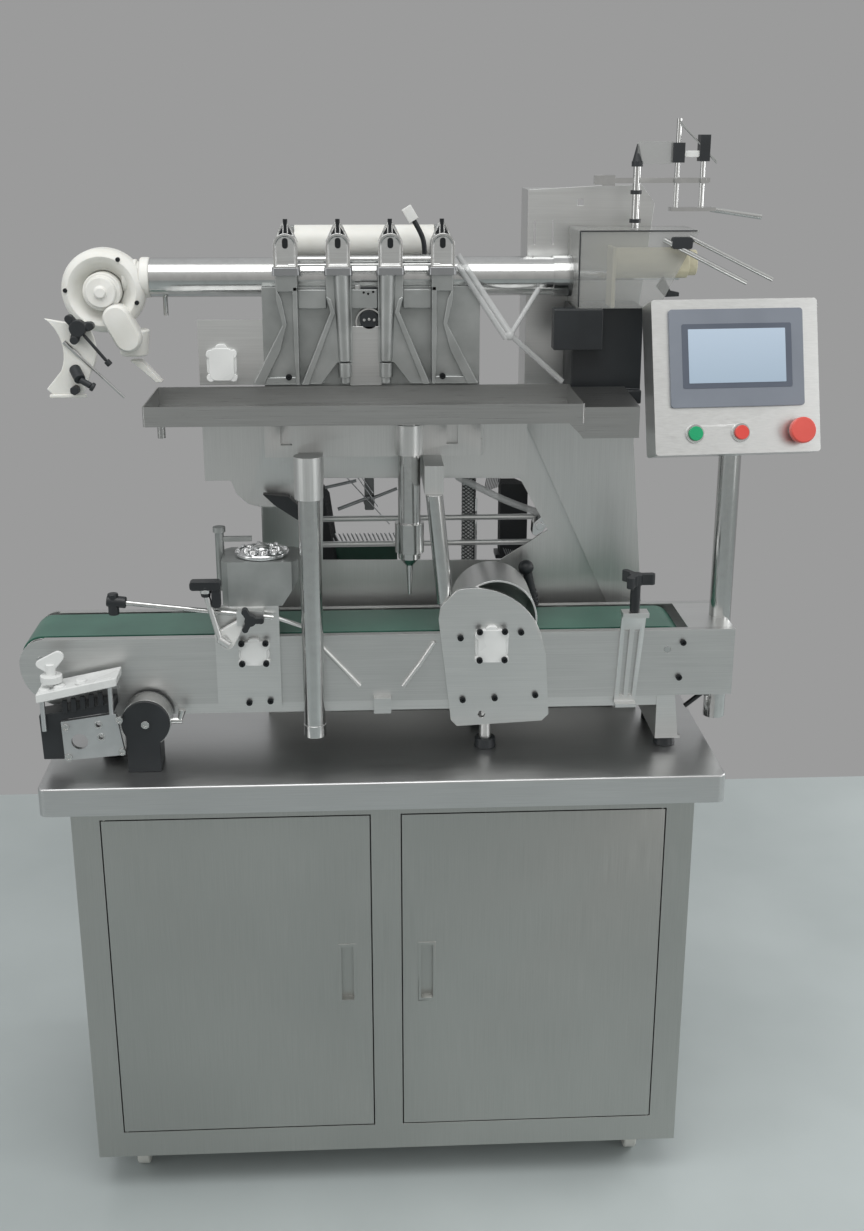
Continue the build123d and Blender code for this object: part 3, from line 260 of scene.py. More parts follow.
# %% Moulded and turned plastics
def moulded_plastic(name, colour, dark, roughness=0.45, texture_mm=0.7, depth=0.12, waxy=0.0):
    """A moulded plastic with a fine texture and slight colour change."""
    material, tree, shader, place = new_material(name)
    texture = add(
        tree,
        "ShaderNodeTexNoise",
        sockets={"Scale": 1000 / texture_mm / 2, "Detail": 2.0},
        links={"Vector": place},
    ).outputs["Fac"]
    handling = add(
        tree, "ShaderNodeTexNoise", sockets={"Scale": 14.0, "Detail": 3.0}, links={"Vector": place}
    ).outputs["Fac"]
    tree.links.new(ramp(tree, handling, 0.3, 0.7, linear(dark), linear(colour)), shader.inputs["Base Color"])
    spread = add(
        tree,
        "ShaderNodeMapRange",
        sockets={"From Min": 0.3, "From Max": 0.7, "To Min": roughness - 0.05, "To Max": roughness + 0.08},
        links={"Value": handling},
    ).outputs["Result"]
    tree.links.new(spread, shader.inputs["Roughness"])
    bump = add(tree, "ShaderNodeBump", sockets={"Strength": depth, "Distance": 0.0004}, links={"Height": texture})
    tree.links.new(bump.outputs["Normal"], shader.inputs["Normal"])
    if waxy:
        shader.inputs["Subsurface Weight"].default_value = waxy
        shader.inputs["Subsurface Radius"].default_value = (0.004, 0.0035, 0.003)
    return material


white_ptfe = moulded_plastic("white PTFE", "#e3e3df", "#d6d6d0", roughness=0.42, waxy=0.15)
white_acetal = moulded_plastic("white acetal", "#dedfdd", "#cfd0ce", roughness=0.4, waxy=0.1)
cream_housing = moulded_plastic("cream enamel", "#dcd7bd", "#cfc9ad", roughness=0.5)
black_abs = moulded_plastic("black ABS", "#24282b", "#1a1d20", roughness=0.42, texture_mm=1.0, depth=0.2)
grey_abs = moulded_plastic("light grey ABS", "#c4c5c2", "#b5b6b3")
white_enamel = moulded_plastic("white enamel on a cast cap", "#e2e4e3", "#d2d4d3", roughness=0.3)
bezel_grey = moulded_plastic("grey bezel ABS", "#7b818b", "#747a84", roughness=0.5)
screen_frame = moulded_plastic("dark screen frame ABS", "#565d6a", "#505764", roughness=0.4)
button_green = moulded_plastic("green button cap", "#12a06a", "#0f9562", roughness=0.25)
button_red = moulded_plastic("red button cap", "#e05048", "#d4463f", roughness=0.25)
estop_red = moulded_plastic("red mushroom cap", "#dc5a50", "#d04f46", roughness=0.3)
hose_grey = moulded_plastic("grey PVC hose", "#9c9c9a", "#8e8e8c", roughness=0.35)
plate_green = moulded_plastic("flat green plate", "#1f4a3c", "#183c30", roughness=0.3)
tyre_white = moulded_plastic("white nylon wheel", "#d4d5d0", "#c4c5c0", roughness=0.5)


# %% [markdown]
# ## Conveyor belt
# The belt is green PVC over a polyester weave. Its top is smooth enough to catch a pale sheen at a
# low angle, and the weave shows through as a fine grid. Thread spacing is about 1 mm on the real
# belt, and it is drawn at 2 mm so that it survives at this image size.

# %% Green belt
belt_green, tree, shader, place = new_material("green PVC belt")
THREAD_MM = 2.0
weave_scale = 1000 / THREAD_MM / (2 * pi) * 2
warp = add(tree, "ShaderNodeTexWave", sockets={"Scale": weave_scale / 2}, links={"Vector": place},
           bands_direction="X").outputs["Fac"]
weft = add(tree, "ShaderNodeTexWave", sockets={"Scale": weave_scale / 2}, links={"Vector": place},
           bands_direction="Y").outputs["Fac"]
weave = add(tree, "ShaderNodeMath", operation="MULTIPLY")
tree.links.new(warp, weave.inputs[0])
tree.links.new(weft, weave.inputs[1])
dust = add(tree, "ShaderNodeTexNoise", sockets={"Scale": 9.0, "Detail": 5.0}, links={"Vector": place}).outputs["Fac"]
tree.links.new(ramp(tree, dust, 0.3, 0.75, linear("#28574a"), linear("#3b6c5c")), shader.inputs["Base Color"])
bump = add(tree, "ShaderNodeBump", sockets={"Strength": 0.15, "Distance": 0.0003},
           links={"Height": weave.outputs["Value"]})
tree.links.new(bump.outputs["Normal"], shader.inputs["Normal"])
shader.inputs["Roughness"].default_value = 0.36
shader.inputs["Coat Weight"].default_value = 0.25
shader.inputs["Coat Roughness"].default_value = 0.25

# %% [markdown]
# ## Clear guard and tubes
# The guard in front of the piston's drive is clear sheet gone slightly milky, and the tubes beside
# the castings are clear polyurethane. Both pass most light and keep a bright edge.


# %% Clear plastics
def clear_plastic(name, colour, alpha, roughness=0.12):
    """Clear plastic, kept see-through by alpha so that it also survives an export."""
    material, tree, shader, place = new_material(name)
    haze = add(tree, "ShaderNodeTexNoise", sockets={"Scale": 20.0, "Detail": 4.0}, links={"Vector": place})
    spread = add(
        tree,
        "ShaderNodeMapRange",
        sockets={"From Min": 0.3, "From Max": 0.7, "To Min": roughness, "To Max": roughness + 0.12},
        links={"Value": haze.outputs["Fac"]},
    ).outputs["Result"]
    tree.links.new(spread, shader.inputs["Roughness"])
    shader.inputs["Base Color"].default_value = linear(colour)
    shader.inputs["Alpha"].default_value = alpha
    return material


guard_clear = clear_plastic("milky clear guard sheet", "#a6a8a6", 0.38)
tube_clear = clear_plastic("clear polyurethane tube", "#c8caca", 0.6, roughness=0.08)

# %% [markdown]
# ## Braided hose
# The supply hose wears a braid of stainless wire. Two sets of wires wind round it in opposite
# ways, which two waves across the hose's height and angle would give; at this size two diagonal
# waves through the object coordinates look the same. A wire bundle is about 4 mm wide.

# %% Stainless braid
braid_steel, tree, shader, place = new_material("stainless wire braid")
waves = []
for lean in (0.9, -0.9):
    turned_place = add(tree, "ShaderNodeMapping", sockets={"Rotation": (0, lean, 0)}, links={"Vector": place})
    waves.append(
        add(tree, "ShaderNodeTexWave", sockets={"Scale": 62.0, "Distortion": 0.6},
            links={"Vector": turned_place.outputs["Vector"]}, bands_direction="X").outputs["Fac"]
    )
crossing = add(tree, "ShaderNodeMath", operation="MULTIPLY")
tree.links.new(waves[0], crossing.inputs[0])
tree.links.new(waves[1], crossing.inputs[1])
tree.links.new(
    ramp(tree, crossing.outputs["Value"], 0.05, 0.5, linear("#4b4d4d"), linear("#b4b6b6")), shader.inputs["Base Color"]
)
bump = add(tree, "ShaderNodeBump", sockets={"Strength": 0.6, "Distance": 0.0015},
           links={"Height": crossing.outputs["Value"]})
tree.links.new(bump.outputs["Normal"], shader.inputs["Normal"])
shader.inputs["Metallic"].default_value = 0.9
shader.inputs["Roughness"].default_value = 0.4

# %% [markdown]
# ## Screen
# The panel's display is lit, so it gives off a little light of its own: a pale blue-grey that is
# slightly brighter at the top, behind glossy glass.

# %% Lit screen
screen_lit, tree, shader, place = new_material("lit display glass")
height = add(tree, "ShaderNodeSeparateXYZ", links={"Vector": place}).outputs["Z"]
glow = add(
    tree,
    "ShaderNodeMapRange",
    sockets={"From Min": 1.37, "From Max": 1.47, "To Min": 0.0, "To Max": 1.0},
    links={"Value": height},
).outputs["Result"]
face_colour = ramp(tree, glow, 0.0, 1.0, linear("#8f9fae"), linear("#a2b0bf"))
tree.links.new(face_colour, shader.inputs["Base Color"])
tree.links.new(face_colour, shader.inputs["Emission Color"])
shader.inputs["Emission Strength"].default_value = 0.3
shader.inputs["Roughness"].default_value = 0.12

# %% [markdown]
# ## Shaping tools
# Every new piece is modelled in millimetres, in the machine's own coordinates, and scaled to metres
# when it is finished. The tools below each wrap one or two mesh operators: an outline that is
# extruded, a profile that is spun, a round bar between two points, and a bevel on all sharp edges.


# %% Finish a piece
def finished(name, shape, material, body="machine", smooth=40, bevel=0.0, node_names=()):
    """Turn a mesh in millimetres into a piece that rides on a body."""
    bmesh.ops.recalc_face_normals(shape, faces=shape.faces)
    bmesh.ops.scale(shape, vec=(0.001, 0.001, 0.001), verts=shape.verts)
    mesh = bpy.data.meshes.new(name)
    shape.to_mesh(mesh)
    shape.free()
    mesh.materials.append(material)
    piece = bpy.data.objects.new(name, mesh)
    bpy.context.collection.objects.link(piece)
    mesh.shade_smooth()
    mesh.set_sharp_from_angle(angle=radians(smooth))
    if bevel:
        round_edges(piece, bevel)
    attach(piece, body)
    if node_names:
        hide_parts(*node_names)
    return piece


def round_edges(piece, width_mm, segments=2, angle=32):
    """Round every sharp edge of a piece, as a deburred edge is."""
    bevel = piece.modifiers.new("deburred edges", "BEVEL")
    bevel.width = width_mm / 1000
    bevel.segments = segments
    bevel.limit_method = "ANGLE"
    bevel.angle_limit = radians(angle)
    bevel.harden_normals = True
    bevel.use_clamp_overlap = True


# %% Dress a solid
def dressed(name, material, bevel=0.8, smooth=35):
    """Copy a solid with its loose triangles merged and its edges rounded, and let the copy stand for it."""
    shape = bmesh.new()
    shape.from_mesh(nodes[name].data)
    bmesh.ops.remove_doubles(shape, verts=shape.verts, dist=1e-6)
    bmesh.ops.dissolve_limit(
        shape, angle_limit=radians(0.5), verts=shape.verts, edges=shape.edges, use_dissolve_boundaries=False
    )
    bmesh.ops.scale(shape, vec=(1000, 1000, 1000), verts=shape.verts)
    return finished(
        name + "_skin",
        shape,
        material,
        body=body_of_node[name],
        smooth=smooth,
        bevel=bevel,
        node_names=(name,),
    )


# %% Shapes in millimetres
def axis_turn(direction):
    """The turn that takes +Z to a direction."""
    return Vector(direction).normalized().to_track_quat("Z", "Y").to_matrix().to_4x4()


def bar(shape, start, end, radius, end_radius=None, sides=32):
    """Add a round bar, or a cone where the end radius differs."""
    line = Vector(end) - Vector(start)
    middle = (Vector(start) + Vector(end)) / 2
    bmesh.ops.create_cone(
        shape,
        cap_ends=True,
        segments=sides,
        radius1=radius,
        radius2=radius if end_radius is None else end_radius,
        depth=line.length,
        matrix=Matrix.Translation(middle) @ axis_turn(line),
    )


def brick(shape, low, high):
    """Add a block between two corners and return its vertices."""
    size = Vector(high) - Vector(low)
    middle = (Vector(high) + Vector(low)) / 2
    made = bmesh.ops.create_cube(
        shape, size=1, matrix=Matrix.Translation(middle) @ Matrix.Diagonal((*size, 1))
    )
    return made["verts"]


def prism(shape, corners, depth):
    """Add a solid from a flat outline of 3-D corners, extruded by a vector."""
    verts = [shape.verts.new(corner) for corner in corners]
    face = shape.faces.new(verts)
    grown = bmesh.ops.extrude_face_region(shape, geom=[face])
    moved = [item for item in grown["geom"] if isinstance(item, bmesh.types.BMVert)]
    bmesh.ops.translate(shape, vec=depth, verts=moved)


def turned(shape, profile, centre, axis, sides=48):
    """Spin a profile of (radius, height) pairs about an axis through a centre."""
    turn = Matrix.Translation(Vector(centre)) @ axis_turn(axis)
    verts = [shape.verts.new(turn @ Vector((radius, 0, height))) for radius, height in profile]
    edges = [shape.edges.new(pair) for pair in zip(verts, verts[1:])]
    bmesh.ops.spin(
        shape,
        geom=verts + edges,
        cent=Vector(centre),
        axis=Vector(axis).normalized(),
        angle=2 * pi,
        steps=sides,
        use_merge=True,
    )
    bmesh.ops.remove_doubles(shape, verts=shape.verts, dist=0.001)


# %% Rounded blocks, round outlines and hollow turned parts
def slab(shape, low, high, corner, axis=1, place=None, segments=4):
    """Add a block whose four edges along one axis are rounded, and move it to its place."""
    before = set(shape.verts)
    verts = brick(shape, low, high)
    edges = {edge for vert in verts for edge in vert.link_edges}
    along = [e for e in edges if abs((e.verts[0].co - e.verts[1].co).normalized()[axis]) > 0.99]
    bmesh.ops.bevel(
        shape, geom=along, offset=corner, segments=segments, profile=0.5, affect="EDGES", material=-1
    )
    if place is not None:
        bmesh.ops.transform(shape, matrix=place, verts=[v for v in shape.verts if v not in before])


def swept_arc(shape, start, centre, axis, degrees, steps):
    """Spin one corner round a centre and return the corners of its arc in order."""
    first = shape.verts.new(start)
    before = set(shape.verts)
    bmesh.ops.spin(
        shape, geom=[first], cent=centre, axis=axis, angle=radians(degrees), steps=steps, use_merge=False
    )
    return [first] + [vert for vert in shape.verts if vert not in before]


def thicken(shape, corners, depth):
    """Fill a loop of corners and extrude the face by a vector; return the front face."""
    face = shape.faces.new(corners)
    grown = bmesh.ops.extrude_face_region(shape, geom=[face], use_keep_orig=True)
    moved = [item for item in grown["geom"] if isinstance(item, bmesh.types.BMVert)]
    bmesh.ops.translate(shape, vec=depth, verts=moved)
    return face


def hull(shape, rings):
    """Add the tight skin round some circles, each given by its centre, axis and radius."""
    own = bmesh.new()
    for centre, axis, radius in rings:
        bmesh.ops.create_circle(
            own, cap_ends=False, radius=radius, segments=32, matrix=Matrix.Translation(centre) @ axis_turn(axis)
        )
    skin = bmesh.ops.convex_hull(own, input=own.verts)
    spare = [item for item in skin["geom_interior"] + skin["geom_unused"] if isinstance(item, bmesh.types.BMVert)]
    bmesh.ops.delete(own, geom=list(set(spare)), context="VERTS")
    bmesh.ops.dissolve_limit(own, angle_limit=radians(0.5), verts=own.verts, edges=own.edges)
    carrier = bpy.data.meshes.new("hull")
    own.to_mesh(carrier)
    own.free()
    shape.from_mesh(carrier)
    bpy.data.meshes.remove(carrier)


# %% [markdown]
# ## Dress the solids
# Sheet work, rails and tubes have the right form already, so each gets a copy with its edges
# rounded and its own finish. Several of the stainless copies are painted lighter and the tray's is painted darker, as
# painted light. The grain follows how the sheet was cut: upright on the cabinet and column, level on the rails, tray
# and table.

# %% Finishes and painted tones of the dressed solids
finishes_and_painted_tones = {
    "cabinet_shell": (steel_upright, 1.2),
    "table_top": (steel_table_painted_lighter, 0.6),
    "left_door": (steel_upright, 0.5),
    "right_door": (steel_upright, 0.5),
    "conveyor_rails": (steel_level_painted_lighter, 0.5),
    "conveyor_belt": (belt_green, 0.3),
    "drive_roller": (steel_polished, 0.8),
    "idler_roller": (steel_polished, 0.8),
    "end_cover": (steel_painted_brightest, 0.5),
    "support_legs": (steel_painted_brightest, 0.5),
    "leg_feet": (black_abs, 1.5),
    "main_frame": (steel_column_painted_lighter, 0.6),
    "hoses": (tube_clear, 0.0),
    "hanging_pillars": (steel_polished, 0.8),
    "drip_tray": (steel_tray_painted_darker, 0.4),
    "carrier_block": (cast_steel, 1.5),
    "rear_drum": (white_ptfe, 1.5),
    "cylinder_barrel": (steel_polished, 0.8),
    "piston": (steel_polished, 0.5),
    "valve_rotor": (white_ptfe, 2.5),
    "front_guard": (guard_clear, 0.3),
    "head_motor": (cream_housing, 1.5),
    "rear_guard": (steel_painted_brightest, 0.4),
    "shroud": (black_abs, 2.0),
    "sensor_stand": (steel_polished, 0.4),
    "sensor_blocks": (black_abs, 0.8),
    "drive_plate": (steel_painted_brightest, 0.7),
    "left_bracket": (steel_painted_brightest, 0.6),
    "dial_housing": (cast_steel, 1.0),
    "guide_rod": (steel_polished, 0.5),
    "rod_knob": (black_abs, 1.5),
    "guide_clamp": (steel_painted_brightest, 0.5),
    "clamp_knob": (black_abs, 1.5),
    "drive_frame": (machined_aluminium, 0.6),
    "drive_body": (black_abs, 1.5),
    "nozzle_tube": (steel_polished, 0.5),
    "panel_post": (steel_polished, 0.6),
    "panel_box": (steel_painted_brightest, 1.2),
    "hmi_screen": (bezel_grey, 0.8),
    "start_button": (button_green, 0.8),
    "stop_button": (button_red, 0.8),
    "estop_button": (estop_red, 2.5),
    "clamp_lever": (black_abs, 1.0),
    "cap_screws": (steel_dark_screw, 0.4),
}
for corner in ("front_left", "rear_left", "front_right", "rear_right"):
    finishes_and_painted_tones[corner + "_fork"] = (steel_zinc, 0.4)
    finishes_and_painted_tones[corner + "_wheel"] = (tyre_white, 0.0)
for name, (material, bevel) in finishes_and_painted_tones.items():
    dressed(name, material, bevel)
print("dressed", len(finishes_and_painted_tones), "of", len(nodes))

# %% [markdown]
# ## Clamp castings
# Four cast arms hold the metering cylinder. Each has a flared foot, an upright neck, a dark collar,
# and an arched head whose face is set back inside a bright rim. The outer two are channels: a back
# plate with a rib on each edge. The inner two carry a round rib in front. The outlines are filled
# and extruded, and the rims come from insetting the front face, so the rim stays equally wide.

# %% Clamp arms: legs
ARM_XS = (-199.0, -117.3, -35.6, 46.1)
ARM_FRONT = -60.0
ARM_BACK = -25.0
arm_legs = bmesh.new()
for arm_x, flip in ((ARM_XS[0], 1), (ARM_XS[3], -1)):
    back = ((-17, 1538), (17, 1538), (17, 1366), (-58, 1366), (-8, 1460), (-17, 1500))
    inner_rib = ((9, 1520), (17, 1520), (17, 1366), (11, 1366), (9, 1420))
    outer_rib = ((-17, 1520), (-8, 1500), (-1, 1462), (-12, 1420), (-40, 1366), (-58, 1366), (-8, 1460), (-17, 1500))
    head = ((-17, 1538), (17, 1538), (17, 1512), (-17, 1512))
    foot = ((-50, 1378), (17, 1378), (17, 1366), (-58, 1366))
    for outline, front, rear in (
        (back, -46, ARM_BACK),
        (inner_rib, -56, -45),
        (outer_rib, -56, -45),
        (head, -56, -45),
        (foot, -53, -45),
    ):
        thicken(arm_legs, [arm_legs.verts.new((arm_x + flip * x, front, z)) for x, z in outline], (0, rear - front, 0))
for arm_x, flip in ((ARM_XS[1], 1), (ARM_XS[2], -1)):
    back = ((-20, 1538), (20, 1538), (20, 1400), (-4, 1400), (-30, 1366), (-62, 1366), (-14, 1480), (-20, 1500))
    edge = ((-20, 1505), (-12, 1500), (-6, 1478), (-50, 1366), (-62, 1366), (-14, 1480))
    thicken(arm_legs, [arm_legs.verts.new((arm_x + flip * x, -50, z)) for x, z in back], (0, 25, 0))
    thicken(arm_legs, [arm_legs.verts.new((arm_x + flip * x, -56, z)) for x, z in edge], (0, 8, 0))
    bar(arm_legs, (arm_x + flip * 5, -47, 1538), (arm_x + flip * 8, -47, 1402), 14, end_radius=10.5)
    bar(arm_legs, (arm_x + flip * 8, -44, 1400), (arm_x + flip * 8, -44, 1376), 11)
    bar(arm_legs, (arm_x + flip * 8, -44, 1378), (arm_x + flip * 8, -44, 1366), 8)
for left, right in ((-182, -137), (-98, -56), (-16, 29)):
    slab(arm_legs, (left, -42, 1484), (right, ARM_BACK, 1514), 2)
legs = finished(
    "clamp_arm_legs", arm_legs, cast_steel, smooth=30, bevel=1.6, node_names=("clamp_castings",)
)
print("clamp arm legs:", len(legs.data.vertices), "vertices")

# %% Clamp arms: arched heads
arm_heads = bmesh.new()
for arm_x in ARM_XS:
    arch = swept_arc(arm_heads, (arm_x + 19, ARM_FRONT, 1582), (arm_x, ARM_FRONT, 1582), (0, -1, 0), 180, 12)
    arch += [arm_heads.verts.new((arm_x - 19, ARM_FRONT, 1548)), arm_heads.verts.new((arm_x + 19, ARM_FRONT, 1548))]
    face = thicken(arm_heads, arch, (0, ARM_BACK - ARM_FRONT, 0))
    bmesh.ops.recalc_face_normals(arm_heads, faces=arm_heads.faces)
    bmesh.ops.inset_region(arm_heads, faces=[face], thickness=3.6, use_even_offset=True)
    bmesh.ops.inset_region(arm_heads, faces=[face], thickness=1.4, depth=-2.5, use_even_offset=True)
    face.material_index = 1
heads = finished("clamp_arm_heads", arm_heads, steel_polished, smooth=30, bevel=0.8)
heads.data.materials.append(steel_level_painted_lighter)

arm_collars = bmesh.new()
for arm_x in ARM_XS:
    slab(arm_collars, (arm_x - 22, -61, 1537), (arm_x + 22, -24, 1549), 5, axis=2)
finished("clamp_arm_collars", arm_collars, steel_zinc, bevel=0.8)

# %% Clamp arms: slots, screws and wire frames on the heads
arm_darks = bmesh.new()
arm_wires = bmesh.new()
for arm_x in ARM_XS:
    # The dark rounded block on each head's face is painted shade: it stands for the shade inside the head's slot, in
    # the dark screw steel.
    slab(arm_darks, (arm_x - 4.5, -58.6, 1578), (arm_x + 4.5, -55, 1594), 4.2)
    slab(arm_darks, (arm_x - 3.5, -34, 1600), (arm_x + 3.5, -27, 1621), 2, axis=2)
    for side in (-1, 1):
        prism(
            arm_darks,
            [(arm_x + side * 16, -34, 1588), (arm_x + side * 4, -34, 1588), (arm_x + side * 3, -34, 1612)],
            (0, 3, 0),
        )
        bar(arm_wires, (arm_x + side * 18, -36, 1586), (arm_x + side * 4, -32, 1616), 1.6, sides=12)
        bar(arm_wires, (arm_x + side * 4, -36, 1590), (arm_x + side * 3, -32, 1616), 1.1, sides=12)
finished("clamp_arm_slots", arm_darks, steel_dark_screw, bevel=0.4)
bar(arm_wires, (ARM_XS[0] - 19, -42, 1560), (ARM_XS[3] + 19, -42, 1560), 6)
bar(arm_wires, (ARM_XS[0] + 4, -56, 1553), (ARM_XS[3] - 4, -56, 1553), 2.2, sides=16)
finished("clamp_arm_bars", arm_wires, steel_polished)

# %% [markdown]
# ## Fittings between the castings
# Between the inner arms sit a plain cover, a black cable fitting under a bright bail, and a small
# black strip of terminals. They are small, but they are the darkest spots on a pale casting.

# %% Cover, cable fitting and terminals
cover = bmesh.new()
slab(cover, (-102, -40, 1362), (-51, ARM_BACK, 1456), 2)
slab(cover, (-92, -36, 1496), (-84, -26, 1520), 1)
slab(cover, (-56, -36, 1496), (-50, -26, 1520), 1)
finished("centre_cover", cover, steel_level_painted_lighter, bevel=0.8)
fitting = bmesh.new()
bar(fitting, (-70, -40, 1466), (-70, -27, 1466), 15)
slab(fitting, (-83, -38, 1500), (-57, -27, 1517), 2)
slab(fitting, (-54, -36, 1456), (-44, -28, 1468), 2)
finished("cable_fitting", fitting, black_abs, bevel=0.8)
bail = bmesh.new()
turned(bail, ((19, 0), (19, 2.5), (22, 2.5), (22, 0), (19, 0)), (-70, -32, 1462), (0, -1, 0))
for x, z in ((-78, 1466), (-70, 1467), (-62, 1466), (-78, 1509), (-71, 1507), (-63, 1510)):
    bar(bail, (x, -42, z), (x, -37, z), 2.2, sides=12)
finished("fitting_bail", bail, steel_polished, bevel=0.3)

# %% [markdown]
# ## Rotary valve
# The valve is turned from PTFE: a dished disc with a thick rolled rim, a round-ended spout that
# leaves its middle to the lower right, and a stub that joins it to the cylinder. The disc is a
# profile that is spun; the spout is the tight skin round two stacks of circles, so its edge is round.

# %% Valve housing
VALVE_X = -492.0
VALVE_Z = 1510.0
valve = bmesh.new()
dish = ((0, 2), (54, 0), (61, 3), (65, 9), (66, 16), (66, 40), (64.5, 47), (60, 53), (54, 56), (48, 54), (42, 47),
        (36, 38), (30.5, 34), (30.5, 10), (0, 10))
turned(valve, dish, (VALVE_X, 38, VALVE_Z), (0, -1, 0), sides=64)
SPOUT_TOP = (VALVE_X + 22, VALVE_Z - 41)
SPOUT_TIP = (VALVE_X + 38, VALVE_Z - 72)
hull(
    valve,
    [
        (Vector((x, y, z)), (0, 1, 0), radius)
        for x, z in (SPOUT_TOP, SPOUT_TIP)
        for y, radius in ((-37, 18), (-34, 21), (-29, 22), (0, 22))
    ],
)
bar(valve, (VALVE_X + 42, 6, VALVE_Z - 62), (VALVE_X + 42, 6, VALVE_Z - 104), 27, end_radius=22)
bar(valve, (VALVE_X + 30, 17, 1528.5), (-430, 17, 1528.5), 25)
bar(valve, (-434, 17, 1528.5), (-418, 17, 1528.5), 32)
bar(valve, (-446, 17, 1528.5), (-438, 17, 1528.5), 29)
bmesh.ops.remove_doubles(valve, verts=valve.verts, dist=0.01)
housing = finished(
    "valve_dish", valve, white_ptfe, smooth=45, node_names=("valve_housing",)
)
round_edges(housing, 3.5, segments=3, angle=50)
chute = bmesh.new()
thicken(
    chute,
    [
        chute.verts.new(corner)
        for corner in ((-458, 4, 1398), (-440, 4, 1398), (-408, 4, 1362), (-418, 4, 1362))
    ],
    (0, 26, 0),
)
finished("valve_drip_strip", chute, white_ptfe, bevel=1.5)
valve_screws = bmesh.new()
for angle in (178, 60, -18, -120):
    spot = Vector((VALVE_X + 57 * cos(radians(angle)), 0, VALVE_Z + 57 * sin(radians(angle))))
    bar(valve_screws, (spot.x, -19.5, spot.z), (spot.x, -14, spot.z), 3.6, sides=20)
finished("valve_screws", valve_screws, steel_dark_screw, bevel=0.4)

# %% [markdown]
# ## Swing bracket
# A curved white guard hangs on a stud in front of the valve. It is sheet bent to a shallow
# trough, held by a black lobed knob, with two studs and a long thin rod that point down to the
# right. The sheet is an outline of arcs, given its thickness, with its lower end turned forward.

# %% Swing bracket
bracket = bmesh.new()
left_edge = swept_arc(bracket, (-574, -72, 1476), (-616, -72, 1422), (0, 1, 0), 76, 10)
lower = [bracket.verts.new(corner) for corner in ((-578, -72, 1366), (-566, -72, 1354), (-520, -72, 1360))]
right_edge = swept_arc(bracket, (-507, -72, 1392), (-560, -72, 1428), (0, -1, 0), 68, 8)
thicken(bracket, left_edge + lower + right_edge, (0, -6, 0))
slab(bracket, (-574, -80, 1352), (-516, -72, 1358), 2, axis=0)
bar(bracket, (-520, -74, 1462), (-520, -20.5, 1462), 5)
finished(
    "swing_bracket_sheet", bracket, white_ptfe, body="swing_bracket", bevel=2.0,
    node_names=("swing_bracket",),
)
bracket_knob = bmesh.new()
bar(bracket_knob, (-520, -80, 1462), (-520, -97, 1462), 13)
for angle in (10, 130, 250):
    lobe = Vector((cos(radians(angle)), 0, sin(radians(angle))))
    end = Vector((-520, -89, 1462)) + 19 * lobe
    bar(bracket_knob, (-520, -89, 1462), end, 7.5)
    bar(bracket_knob, end + Vector((0, 8, 0)), end - Vector((0, 8, 0)), 6.5)
bar(bracket_knob, (-532, -72, 1366), (-532, -95, 1366), 7.5, sides=6)
bar(bracket_knob, (-532, -78, 1398), (-521, -98, 1384), 9)
bar(bracket_knob, (-521, -98, 1384), (-505, -98, 1374), 5)
bar(bracket_knob, (-505, -98, 1374), (-500, -98, 1371), 7)
bar(bracket_knob, (-512, -90, 1452), (-480, -90, 1412), 2.6, sides=16)
bar(bracket_knob, (-480, -90, 1412), (-474, -90, 1405), 5, sides=16)
finished("bracket_knobs", bracket_knob, black_abs, body="swing_bracket", bevel=1.5)
bracket_rod = bmesh.new()
bar(bracket_rod, (-541, -79, 1436), (-457, -79, 1352), 2.2, sides=16)
bar(bracket_rod, (-545, -79, 1440), (-522, -79, 1417), 3.4, sides=16)
finished("bracket_rod", bracket_rod, steel_polished, body="swing_bracket")

# %% [markdown]
# ## Dial and motor caps
# The timing dial is a chromed disc with eight finger bosses round a knurled hub. The gearmotors
# are closed by cast caps whose ears hold a socket screw each, so a cap's outline has lobes.

# %% Dial
dial = bmesh.new()
DIAL = Vector((-246.0, -148.0, 1112.3))
turned(dial, ((0, 0), (41, 0), (43, 2), (43, 6), (41, 8), (36, 8), (34, 6), (0, 6)), DIAL, (0, 0, 1), sides=64)
turned(dial, ((0, 5), (15, 5), (15, 11), (12, 14), (5, 15), (0, 15)), DIAL, (0, 0, 1))
bar(dial, DIAL - Vector((0, 0, 64)), DIAL + Vector((0, 0, 1)), 6)
for k in range(8):
    out = Vector((cos(k * pi / 4 + 0.2), sin(k * pi / 4 + 0.2), 0))
    bar(dial, DIAL + 24 * out + Vector((0, 0, 4)), DIAL + 24 * out + Vector((0, 0, 12.5)), 7, end_radius=4.5, sides=20)
    bar(dial, DIAL + 37.5 * out + Vector((0, 0, 5)), DIAL + 37.5 * out + Vector((0, 0, 11)), 3, sides=16)
finished(
    "dial_chrome", dial, chrome, body="dial", smooth=40, bevel=0.9, node_names=("dial",)
)

# %% Motor caps
caps = bmesh.new()
cap_holes = bmesh.new()
for cap_x, cap_z, width, height, face_y in (
    (118, 971, 55, 63, -193),
    (-261, 965, 51, 48, -193),
    (-307, 1398, 50, 60, -25),
):
    slab(caps, (cap_x - width / 2 + 5, face_y - 10, cap_z - height / 2 + 2),
         (cap_x + width / 2 - 5, face_y, cap_z + height / 2 - 6), 11)
    slab(caps, (cap_x - 10, face_y - 9, cap_z), (cap_x + 10, face_y, cap_z + height / 2), 7)
    slab(caps, (cap_x - width / 2 + 1, face_y - 7, cap_z - height / 2 + 10),
         (cap_x + width / 2 - 1, face_y, cap_z + height / 2 - 16), 9)
    for ear_x, ear_z in ((-1, -1), (1, -1), (-1, 0.62), (1, 0.62)):
        spot = (cap_x + ear_x * (width / 2 - 7), face_y, cap_z + ear_z * (height / 2 - 7))
        bar(caps, spot, (spot[0], face_y - 9.5, spot[2]), 6.8)
finished("motor_cap_castings", caps, white_enamel, bevel=1.2, node_names=("motor_caps",))
